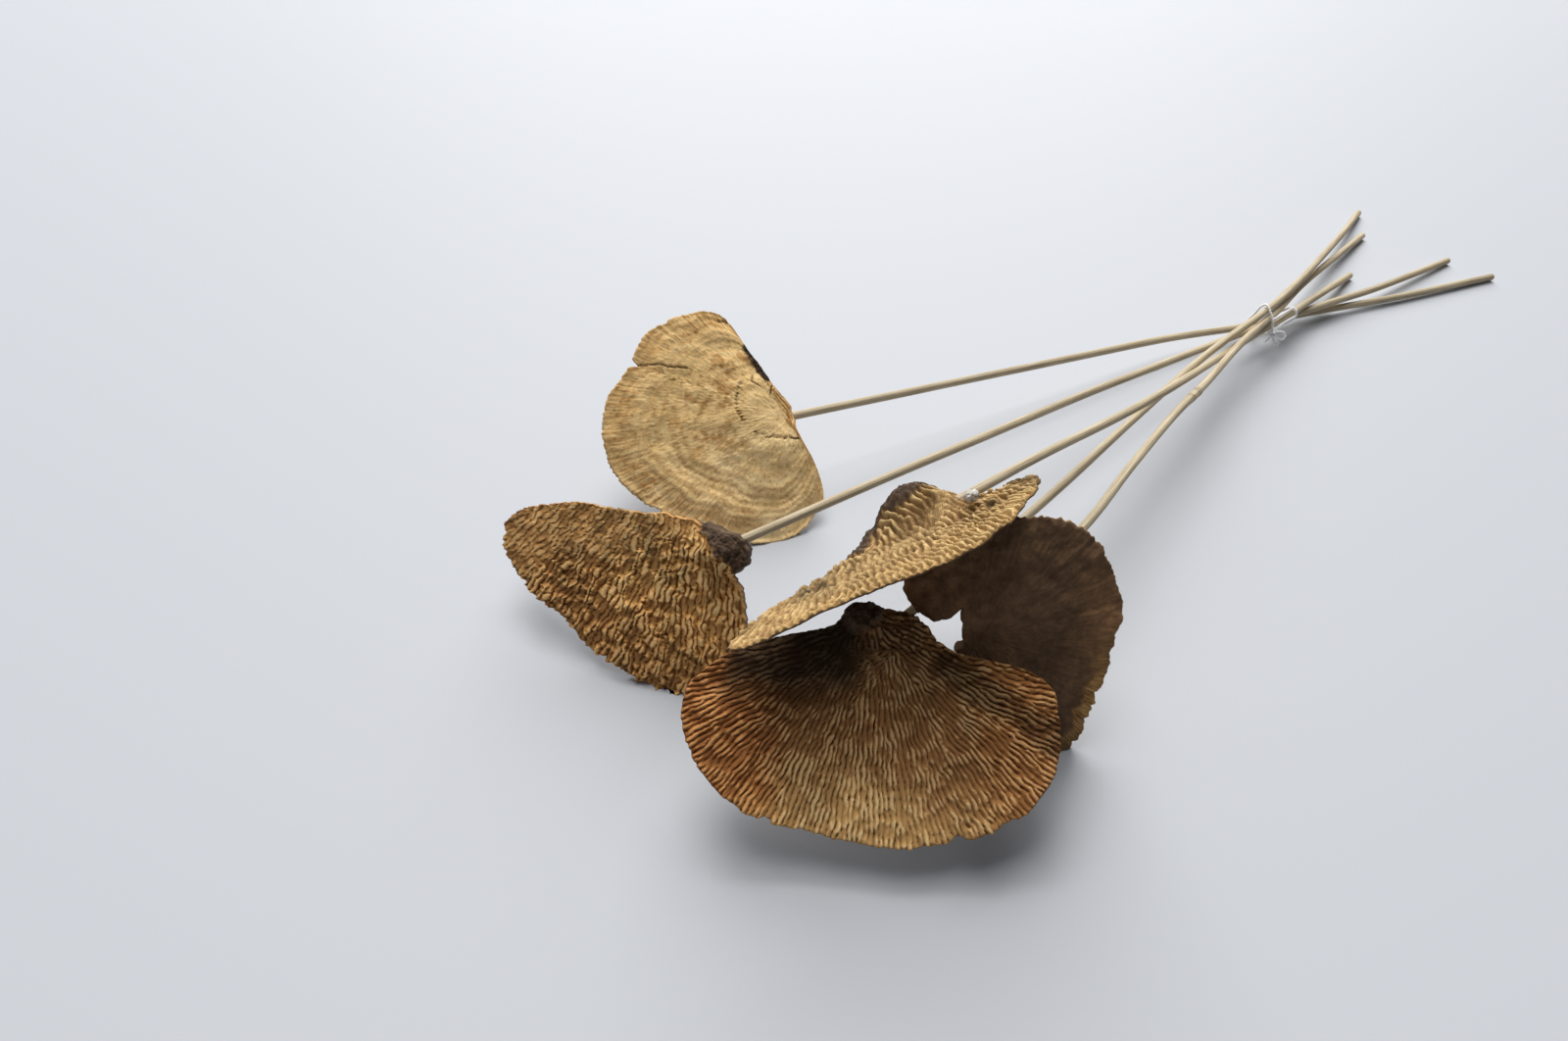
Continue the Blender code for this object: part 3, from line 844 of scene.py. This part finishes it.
STEMS = {
    "stem_zoned": (
        (-135.1, 64.6, 33.5), (-42, 30, 23.6), (5.3, 13.5, 17.8), (57.7, -4.1, 10.7),
        (101.7, -23.9, 6.0), (136.5, -38.8, 4.1), (191, -67.2, 2.7), (246, -93.7, 1.9),
    ),
    "stem_shaggy": (
        (-206.4, 17.9, 46), (-136.4, 7.7, 38.3), (-84.2, -0.5, 32.5), (-23.7, -9.3, 25.1),
        (29.3, -18.5, 18.6), (74.8, -26.4, 13), (110, -34.1, 9.9), (151, -46.3, 8),
        (188, -57, 5.6), (246, -70.4, 1.9),
    ),
    "stem_upturned": (
        (-153.3, -34.7, 66), (-103.4, -34.9, 54.7), (-51.4, -36.6, 43), (-9.7, -37, 34),
        (43.7, -35.4, 22.1), (78.7, -35.1, 16.2), (115.7, -38.6, 14), (135.5, -39.1, 12.2),
        (168.5, -38.9, 6.2), (193, -38.7, 1.9),
    ),
    "stem_front": (
        (-199, -43.1, 42), (-112.4, -41.1, 36.5), (-33.9, -35.5, 29.8), (24.1, -31.7, 24.9),
        (59.6, -31.4, 23.1), (97, -32.3, 21.2), (134.1, -30.2, 18), (159.4, -27.4, 14.9),
        (224.3, -18.8, 6.6), (262.6, -12.7, 1.9),
    ),
    "stem_upright": (
        (-172, -61.5, 38.7), (-109.6, -59.6, 36.7), (-63.5, -53, 34.9), (-19.5, -47.2, 32.3),
        (12.8, -44.4, 29.7), (53.8, -38.6, 24), (81.5, -36, 20.4), (110.2, -33.8, 16.4),
        (156.8, -28.5, 10), (239, -25.5, 1.9),
    ),
}

# Swellings of each reed: how far along it, and how much thicker, in millimetres
NODES = {"stem_upright": ((178, 0.3), (184, 0.35)), "stem_shaggy": ((241, 0.12),)}


def make_reed(name, points, seed):
    inward = (Vector(points[0]) - Vector(points[1])).normalized()
    start = Vector(points[0]) + inward * SOCKET_DEPTH
    places, firsts, seconds, length = even_path([start, *points], REED_STEP)
    angle = np.linspace(0, 2 * math.pi, REED_COLUMNS)[:-1]
    luck = np.random.default_rng(seed)
    grooves = sum(np.cos(wave * angle + luck.uniform(0, 6.3)) for wave in (3, 5, 8, 11)) * 0.022
    grooves = np.append(grooves, grooves[0])
    slow = 0.05 * np.sin(length / 31 + seed) + 0.03 * np.sin(length / 11 + 2 * seed)
    radii = STEM_RADIUS - 0.06 + slow[:, None] * 0.6 + np.repeat(grooves[None], len(length), axis=0)
    swollen = np.zeros_like(length)
    for place, swelling in NODES.get(name, ()):
        swollen += swelling * np.exp(-(((length - place) / NODE_WIDTH) ** 2))
    radii = radii + swollen[:, None]
    turn = np.linspace(0, 2 * math.pi, REED_COLUMNS)
    flat = np.ones((len(length), REED_COLUMNS))
    grain = np.stack([np.cos(turn) * flat, np.sin(turn) * flat,
                      (length[:, None] * 0.01 + seed) * flat], axis=2)
    node = swollen[:, None] * flat
    mesh = tube(name + "_reed", places, firsts, seconds, radii, {"grain": grain, "node": node})
    piece = new_piece(name + "_reed", mesh)
    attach(piece, "root")
    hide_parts(name)
    print(name, round(float(length[-1])), "mm long,", count_triangles(mesh), "triangles")
    return piece


reeds = [make_reed(name, points, 1 + index) for index, (name, points) in enumerate(STEMS.items())]

# %% [markdown]
# The string is white cotton of two plies twisted together. It goes once round all five reeds,
# once round the lower three, and ends in a small bow that hangs from the knot. Each ply is a
# thin tube that winds round the string's own path.

# %% String tie
PLY_RADIUS = 0.34
PLY_PITCH = 2.8
PLY_STEP = 0.3
PLY_COLUMNS = 9

TIE_LOOP = (
    (93.9, -39.3, 15), (95.8, -37.6, 11.8), (98.3, -34.6, 9.3), (100.7, -31.8, 7.1),
    (103.2, -28.9, 4.5), (105.9, -25.7, 2.1), (107.4, -22.4, 5.2), (105.4, -23.8, 9.8),
    (103.3, -25.7, 13.6), (101.5, -27.2, 17.6), (99.6, -28.8, 21.4), (97.5, -31.6, 24.3),
    (95.4, -35.2, 22.6), (94, -38.1, 19.4),
)
LOWER_LOOP = (
    (115.8, -41.4, 13.9), (116.1, -40.2, 11.2), (116.4, -38.7, 8.6), (116.8, -36.7, 6.2),
    (117.2, -34.4, 4.2), (117.7, -32.1, 2.2), (118.3, -29.1, 2.2), (118.6, -27.5, 4.8),
    (118.3, -28.9, 7.6), (117.9, -31.1, 9.8), (117.5, -33.1, 12), (117.1, -35.2, 14.2),
    (116.7, -37.2, 16.5), (116.1, -40.1, 16.7),
)
STRANDS = (
    (TIE_LOOP, True),
    (LOWER_LOOP, True),
    (((94.4, -37.5, 19.9), (98.5, -37.7, 19.1), (104, -37.8, 18), (110, -38, 17.3),
      (116.5, -38.4, 16.8)), False),
    (((94.2, -40, 13.6), (98, -40.4, 15.2), (104, -40.6, 15), (110, -41.1, 14.6),
      (115.8, -41.4, 13.9)), False),
    (((94.2, -40, 13), (94.3, -41.2, 10.4), (95.4, -42.8, 7.8), (97, -43.5, 6.8),
      (98, -42.7, 8.4), (96.8, -41.3, 11)), True),
    (((94.8, -40.4, 13.4), (95.3, -42.3, 11.8), (96.6, -44.3, 10.8), (98.3, -45, 11.6),
      (98.4, -43.7, 13.4), (96.6, -41.7, 14.2)), True),
    (((94.1, -39.9, 12.8), (93.7, -39.4, 10.6), (93.6, -38.4, 8.4)), False),
)
KNOT = (94.2, -40.1, 13.2)


def ply_meshes(points, closed):
    places, firsts, seconds, length = even_path(points, PLY_STEP, closed)
    turns = max(1, round(length[-1] / PLY_PITCH))
    meshes = []
    for half in (0, math.pi):
        turn = (2 * math.pi * turns * length / length[-1] + half)[:, None]
        offset = PLY_RADIUS * 0.85 * (np.cos(turn) * firsts + np.sin(turn) * seconds)
        radii = np.full((len(length), PLY_COLUMNS), PLY_RADIUS)
        meshes.append(tube("ply", places + offset, firsts, seconds, radii, closed=closed))
    return meshes


def knot_rings():
    """Small turns of string round the place where all strands meet."""
    rings = []
    for tilt, shift in ((0.3, -0.55), (0.9, 0.1), (-0.5, 0.6)):
        ring = []
        for step in range(8):
            turn = step * math.pi / 4
            ring.append((
                KNOT[0] + 0.95 * math.cos(turn) * math.cos(tilt) + 0.3 * shift,
                KNOT[1] + 0.85 * math.sin(turn),
                KNOT[2] + 0.95 * math.cos(turn) * math.sin(tilt) + shift,
            ))
        rings.append(ring)
    return rings


def make_tie():
    meshes = []
    for points, closed in STRANDS:
        meshes += ply_meshes(points, closed)
    for ring in knot_rings():
        meshes += ply_meshes(ring, True)
    bm = bmesh.new()
    for mesh in meshes:
        bm.from_mesh(mesh)
        bpy.data.meshes.remove(mesh)
    joined = ended(bm, "tie_string", smooth=True)
    piece = new_piece("tie_string", joined)
    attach(piece, "root")
    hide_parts("tie")
    print("string triangles:", count_triangles(joined))
    return piece


tie = make_tie()

# %% [markdown]
# One drop of hot glue holds the upturned cap on its reed. It is a small uneven lump, glossy
# and greyish, so a ball is squashed and pushed in and out by noise.

# %% Glue
GLUE = (10, 0.5, 3.6)
GLUE_SIZE = (3.2, 2.4, 1.8)


def make_glue():
    bm = bmesh.new()
    bmesh.ops.create_icosphere(bm, subdivisions=5, radius=1.0)
    for vert in bm.verts:
        lumps = 0.16 * noise.noise(vert.co * 1.8) + 0.1 * noise.noise(vert.co * 4.5)
        vert.co = vert.co * (0.95 + lumps)
    bmesh.ops.scale(bm, vec=Vector(GLUE_SIZE) * MM, verts=bm.verts)
    spot = cap_matrix(CAPS["cap_upturned"]) @ (Vector(GLUE) * MM)
    bmesh.ops.translate(bm, vec=spot, verts=bm.verts)
    mesh = ended(bm, "glue_drop", smooth=True)
    piece = new_piece("glue_drop", mesh)
    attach(piece, "root")
    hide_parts("glue_blob")
    print("glue triangles:", count_triangles(mesh))
    return piece


glue = make_glue()

# %% [markdown]
# Every material is a small graph of nodes. This helper adds the nodes one after another, and
# reads the values that the meshes have stored.

# %% Material helper
class Recipe:
    """A material whose nodes are added one after another."""

    def __init__(self, name):
        self.material = bpy.data.materials.new(name)
        self.material.use_nodes = True
        self.tree = self.material.node_tree
        self.shader = self.tree.nodes["Principled BSDF"]

    def put(self, socket, value):
        if isinstance(value, bpy.types.NodeSocket):
            self.tree.links.new(value, socket)
        else:
            socket.default_value = value

    def node(self, kind, inputs=None, **settings):
        made = self.tree.nodes.new(kind)
        for key, value in settings.items():
            setattr(made, key, value)
        for key, value in (inputs or {}).items():
            self.put(made.inputs[key], value)
        return made

    def stored(self, name, output="Fac"):
        return self.node("ShaderNodeAttribute", attribute_name=name).outputs[output]

    def place(self):
        return self.node("ShaderNodeTexCoord").outputs["Object"]

    def noise(self, vector, scale, detail=4.0, roughness=0.6, stretch=(1, 1, 1)):
        mapped = self.node("ShaderNodeMapping", {"Vector": vector, "Scale": stretch})
        inputs = {"Vector": mapped.outputs["Vector"], "Scale": scale, "Detail": detail,
                  "Roughness": roughness}
        return self.node("ShaderNodeTexNoise", inputs).outputs["Fac"]

    def ramp(self, value, stops):
        made = self.node("ShaderNodeValToRGB", {"Fac": value})
        ramp = made.color_ramp
        while len(ramp.elements) < len(stops):
            ramp.elements.new(1.0)
        for element, (position, colour) in zip(ramp.elements, stops):
            element.position = position
            element.color = (*colour, 1.0) if isinstance(colour, tuple) else (colour,) * 3 + (1,)
        return made.outputs["Color"]

    def mix(self, share, first, second, blend="MIX"):
        made = self.node("ShaderNodeMix", data_type="RGBA", blend_type=blend)
        for index, value in ((0, share), (6, first), (7, second)):
            if isinstance(value, tuple) and len(value) == 3:
                value = (*value, 1.0)
            self.put(made.inputs[index], value)
        return made.outputs[2]

    def shade(self, colour, value, low, high):
        """The colour made darker or lighter where value is low or high."""
        return self.mix(1.0, colour, self.ramp(value, [(0.3, low), (0.7, high)]), "MULTIPLY")

    def tint(self, colour, name, tone, share=1.0):
        """The colour times a tone, as far as the stored value says."""
        amount = self.sum(self.stored(name), share, "MULTIPLY")
        return self.mix(amount, colour, self.mix(1.0, colour, tone, "MULTIPLY"))

    def sum(self, first, second, operation="ADD"):
        return self.node("ShaderNodeMath", {0: first, 1: second}, operation=operation).outputs[0]

    def bump(self, height, distance, strength=1.0):
        inputs = {"Height": height, "Distance": distance, "Strength": strength}
        return self.node("ShaderNodeBump", inputs).outputs["Normal"]

    def finish(self, colour, roughness, normal=None):
        self.put(self.shader.inputs["Base Color"], colour)
        self.put(self.shader.inputs["Roughness"], roughness)
        self.put(self.shader.inputs["Specular IOR Level"], 0.25)
        if normal is not None:
            self.put(self.shader.inputs["Normal"], normal)
        return self.material


def dress(piece, material):
    piece.data.materials.clear()
    piece.data.materials.append(material)


print("the material helper is ready")

# %% [markdown]
# The gill side is coloured by height: dark in the gaps, which is painted shade between the gills,
# brown on the walls, and pale on the edges, partly their own colour and partly a painted highlight
# where they catch the light. The rind is laid over it where a vertex belongs to the top side, and
# dark bark where it belongs to the crust; on the front cap's knob this dark bark is partly painted
# shade.

# %% Colours of the caps
def gill_colour(recipe, tones, pale_tones, warm):
    spot = recipe.place()
    fine = recipe.noise(spot, 1300, 4)
    ragged = recipe.sum(recipe.sum(fine, 0.5, "SUBTRACT"), 0.32, "MULTIPLY")
    level = recipe.sum(recipe.stored("edge"), ragged)
    # The first stop is dark: painted shade in the gaps between the gills. The last is pale: partly
    # the edges' own colour and partly a painted highlight where they catch the light.
    stops = (0.0, 0.25, 0.76, 0.98)
    plain = recipe.ramp(level, list(zip(stops, tones)))
    pale = recipe.ramp(level, list(zip(stops, pale_tones)))
    colour = recipe.mix(recipe.stored("pale"), plain, pale)
    colour = recipe.tint(colour, "warm", warm, 0.8)
    colour = recipe.shade(colour, recipe.noise(spot, 70, 5), 0.78, 1.15)
    # Darkened towards grey as far as this stored value says: real dirt on the shaggy and upturned
    # caps, painted shadows and painted shade on the front cap.
    colour = recipe.tint(colour, "dirt", (0.15, 0.17, 0.20))
    return colour, fine, spot


# Dark flaky bark. On the front cap's knob it is partly painted shade.
def bark_and_shade_colour(recipe, spot):
    flakes = recipe.noise(spot, 420, 6, 0.7, (1, 1, 0.4))
    return recipe.ramp(flakes, [(0.35, (0.030, 0.019, 0.012)), (0.6, (0.12, 0.074, 0.046)),
                                (0.8, (0.22, 0.15, 0.10))])


def cap_finish(name, tones, pale_tones, warm, rind):
    recipe = Recipe(name)
    colour, fine, spot = gill_colour(recipe, tones, pale_tones, warm)
    side = recipe.ramp(recipe.stored("side"), [(0.5, 0.0), (0.9, 1.0)])
    colour = recipe.mix(side, colour, rind(recipe, spot))
    colour = recipe.mix(recipe.stored("crust_and_shade"), colour, bark_and_shade_colour(recipe, spot))
    return recipe.finish(colour, 0.9, recipe.bump(fine, 0.0004, 0.6))


def brown_rind(recipe, spot):
    tone = recipe.ramp(recipe.noise(spot, 90, 6), [
        (0.3, (0.06, 0.035, 0.02)), (0.7, (0.2, 0.12, 0.06))])
    return recipe.shade(tone, recipe.noise(spot, 500, 4), 0.8, 1.2)


def straw_rind(recipe, spot):
    straw = recipe.ramp(recipe.noise(spot, 120, 6, 0.65), [
        (0.28, (0.68, 0.45, 0.175)), (0.5, (0.83, 0.58, 0.260)), (0.75, (0.90, 0.68, 0.34))])
    # Painted light: the right side of the top made lighter and bluer.
    straw = recipe.tint(straw, "bright", (1.30, 1.36, 1.50), 0.85)
    spoke = recipe.stored("spoke", "Vector")
    streaks = recipe.noise(spoke, 5, 5, 0.7, (9, 9, 0.8))
    brown = recipe.ramp(streaks, [(0.42, (1.0, 1.0, 1.0)), (0.64, (0.66, 0.50, 0.36))])
    straw = recipe.tint(straw, "band", brown)
    fibres = recipe.noise(spoke, 14, 4, 0.7, (10, 10, 1.2))
    straw = recipe.shade(straw, fibres, 0.90, 1.06)
    straw = recipe.tint(straw, "rings", (0.66, 0.52, 0.38), 0.7)
    specks = recipe.ramp(recipe.noise(spot, 620, 4, 0.7), [
        (0.38, (0.60, 0.42, 0.28)), (0.47, (1.0, 1.0, 1.0))])
    straw = recipe.mix(0.6, straw, specks, "MULTIPLY")
    worn = recipe.sum(recipe.noise(spot, 300, 5, 0.75), recipe.noise(spoke, 8, 5, 0.7, (6, 6, 2)))
    blots = recipe.sum(recipe.stored("stain"), recipe.sum(worn, 0.5, "MULTIPLY"), "MULTIPLY")
    straw = recipe.mix(recipe.ramp(blots, [(0.25, 0.0), (0.6, 0.95)]), straw,
                       recipe.mix(1.0, straw, (0.50, 0.33, 0.19), "MULTIPLY"))
    return recipe.mix(recipe.sum(recipe.stored("crack"), 0.85, "MULTIPLY"), straw,
                      (0.10, 0.055, 0.028))


def dark_rind(recipe, spot):
    tone = recipe.ramp(recipe.noise(spot, 60, 6), [
        (0.3, (0.095, 0.054, 0.029)), (0.7, (0.19, 0.110, 0.058))])
    spoke = recipe.stored("spoke", "Vector")
    streaks = recipe.noise(spoke, 6, 5, 0.65, (6, 6, 0.8))
    tone = recipe.shade(tone, streaks, 0.85, 1.15)
    tone = recipe.tint(tone, "pale", (2.3, 2.1, 1.8), 0.8)
    tone = recipe.shade(tone, recipe.noise(spot, 350, 5), 0.75, 1.25)
    lines = recipe.noise(spoke, 22, 3, 0.6, (8, 8, 0.5))
    ochre = recipe.ramp(lines, [(0.4, (0.17, 0.078, 0.025)), (0.6, (0.66, 0.38, 0.13))])
    return recipe.mix(recipe.stored("fringe"), tone, ochre)


# In each list of four tones the first, for the gaps, is painted shade, and the last, for the gill
# edges, is partly a painted highlight.
dress(front, cap_finish(
    "front_cap_finish",
    ((0.06, 0.025, 0.010), (0.23, 0.11, 0.038), (0.38, 0.185, 0.066), (0.80, 0.54, 0.26)),
    ((0.08, 0.035, 0.013), (0.36, 0.20, 0.070), (0.60, 0.36, 0.138), (0.95, 0.72, 0.37)),
    (0.90, 0.66, 0.46), brown_rind))
dress(shaggy, cap_finish(
    "shaggy_cap_finish",
    ((0.08, 0.032, 0.010), (0.40, 0.19, 0.060), (0.66, 0.345, 0.115), (0.95, 0.64, 0.29)),
    ((0.11, 0.047, 0.015), (0.58, 0.30, 0.095), (0.94, 0.55, 0.195), (1.00, 0.76, 0.38)),
    (1.15, 0.80, 0.55), brown_rind))
dress(upturned, cap_finish(
    "upturned_cap_finish",
    ((0.05, 0.025, 0.010), (0.22, 0.12, 0.045), (0.44, 0.285, 0.12), (0.62, 0.44, 0.21)),
    ((0.10, 0.055, 0.019), (0.32, 0.19, 0.07), (0.52, 0.345, 0.145), (0.64, 0.45, 0.21)),
    (1.0, 0.9, 0.8), brown_rind))
TAN = ((0.05, 0.025, 0.01), (0.20, 0.11, 0.045), (0.36, 0.23, 0.10), (0.52, 0.37, 0.18))
OCHRE = ((0.10, 0.055, 0.02), (0.26, 0.15, 0.055), (0.46, 0.31, 0.12), (0.64, 0.48, 0.22))
dress(zoned, cap_finish("zoned_cap_finish", TAN, TAN, (1.0, 0.9, 0.8), straw_rind))
dress(upright, cap_finish("upright_cap_finish", OCHRE, OCHRE, (1.0, 0.9, 0.8), dark_rind))
print("the caps are coloured")

# %% [markdown]
# The reed is pale straw with long darker lines. The string is white, and the glue is glossy.

# %% Colours of reed, string and glue
def reed_finish():
    recipe = Recipe("reed_finish")
    grain = recipe.stored("grain", "Vector")
    lines = recipe.noise(grain, 3.2, 4, 0.65, (2.2, 2.2, 1.3))
    colour = recipe.ramp(lines, [(0.36, (0.30, 0.225, 0.13)), (0.5, (0.50, 0.41, 0.27)),
                                 (0.66, (0.64, 0.56, 0.41))])
    spot = recipe.place()
    colour = recipe.shade(colour, recipe.noise(spot, 25, 4), 0.86, 1.1)
    pores = recipe.noise(grain, 26, 3, 0.6, (1, 1, 2.4))
    colour = recipe.mix(0.7, colour, recipe.ramp(pores, [(0.3, 0.6), (0.42, 1.0)]), "MULTIPLY")
    knotty = recipe.sum(recipe.stored("node"), recipe.noise(spot, 500, 3), "MULTIPLY")
    colour = recipe.mix(recipe.ramp(knotty, [(0.08, 0.0), (0.22, 1.0)]), colour, (0.20, 0.13, 0.06))
    return recipe.finish(colour, 0.55, recipe.bump(lines, 0.0003, 0.5))


def string_finish():
    recipe = Recipe("string_finish")
    spot = recipe.place()
    tone = recipe.ramp(recipe.noise(spot, 900, 3), [
        (0.3, (0.84, 0.84, 0.84)), (0.7, (0.95, 0.95, 0.96))])
    return recipe.finish(tone, 0.95, recipe.bump(recipe.noise(spot, 2600, 2), 0.0001, 0.6))


def glue_finish():
    recipe = Recipe("glue_finish")
    spot = recipe.place()
    tone = recipe.ramp(recipe.noise(spot, 700, 4), [
        (0.42, (0.20, 0.17, 0.14)), (0.6, (0.60, 0.57, 0.52))])
    return recipe.finish(tone, 0.25, recipe.bump(recipe.noise(spot, 900, 3), 0.0004, 0.7))


shared_reed = reed_finish()
for reed in reeds:
    dress(reed, shared_reed)
dress(tie, string_finish())
dress(glue, glue_finish())
print("reed, string and glue are coloured")

# %% [markdown]
# The table top is a pale, slightly blue board. Soft daylight falls in slantwise from a large
# window behind the bunch, and a smaller light stands higher, so the caps shade the table on the
# camera's side.

# %% Table and light
def make_floor():
    bm = bmesh.new()
    bmesh.ops.create_grid(bm, x_segments=1, y_segments=1, size=6.0)
    floor = new_piece("table_top", ended(bm, "table_top"))
    recipe = Recipe("table_finish")
    floor.data.materials.append(recipe.finish((0.495, 0.515, 0.555, 1), 0.6))
    floor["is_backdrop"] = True
    return floor


def make_window(name, azimuth, elevation, distance, size, power):
    """A square soft light, seen from the bunch in that direction."""
    lamp = bpy.data.lights.new(name, "AREA")
    lamp.shape = "SQUARE"
    lamp.size = size
    lamp.energy = power
    lamp.color = (1.0, 0.99, 0.97)
    made = bpy.data.objects.new(name, lamp)
    turn, rise = math.radians(azimuth), math.radians(elevation)
    way = Vector((math.cos(turn) * math.cos(rise), math.sin(turn) * math.cos(rise), math.sin(rise)))
    made.location = Vector((-0.12, -0.02, 0)) + way * distance
    made.rotation_euler = way.to_track_quat("Z", "Y").to_euler()
    bpy.context.scene.collection.objects.link(made)


make_floor()
make_window("window_back", 42, 39, 5.0, 4.2, 355)
make_window("window_above", 70, 68, 4.0, 2.6, 90)
world = bpy.data.worlds.new("room")
world.use_nodes = True
background = world.node_tree.nodes["Background"]
background.inputs["Color"].default_value = (0.93, 0.95, 1.0, 1)
background.inputs["Strength"].default_value = 0.13
bpy.context.scene.world = world
bpy.context.scene.view_settings.view_transform = "Standard"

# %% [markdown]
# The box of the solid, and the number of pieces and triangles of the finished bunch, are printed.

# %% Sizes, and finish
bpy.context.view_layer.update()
shown = [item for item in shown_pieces() if item.type == "MESH"]
print("pieces:", len(shown), "triangles:", sum(count_triangles(item.data) for item in shown))
print("solid box", solid_box)
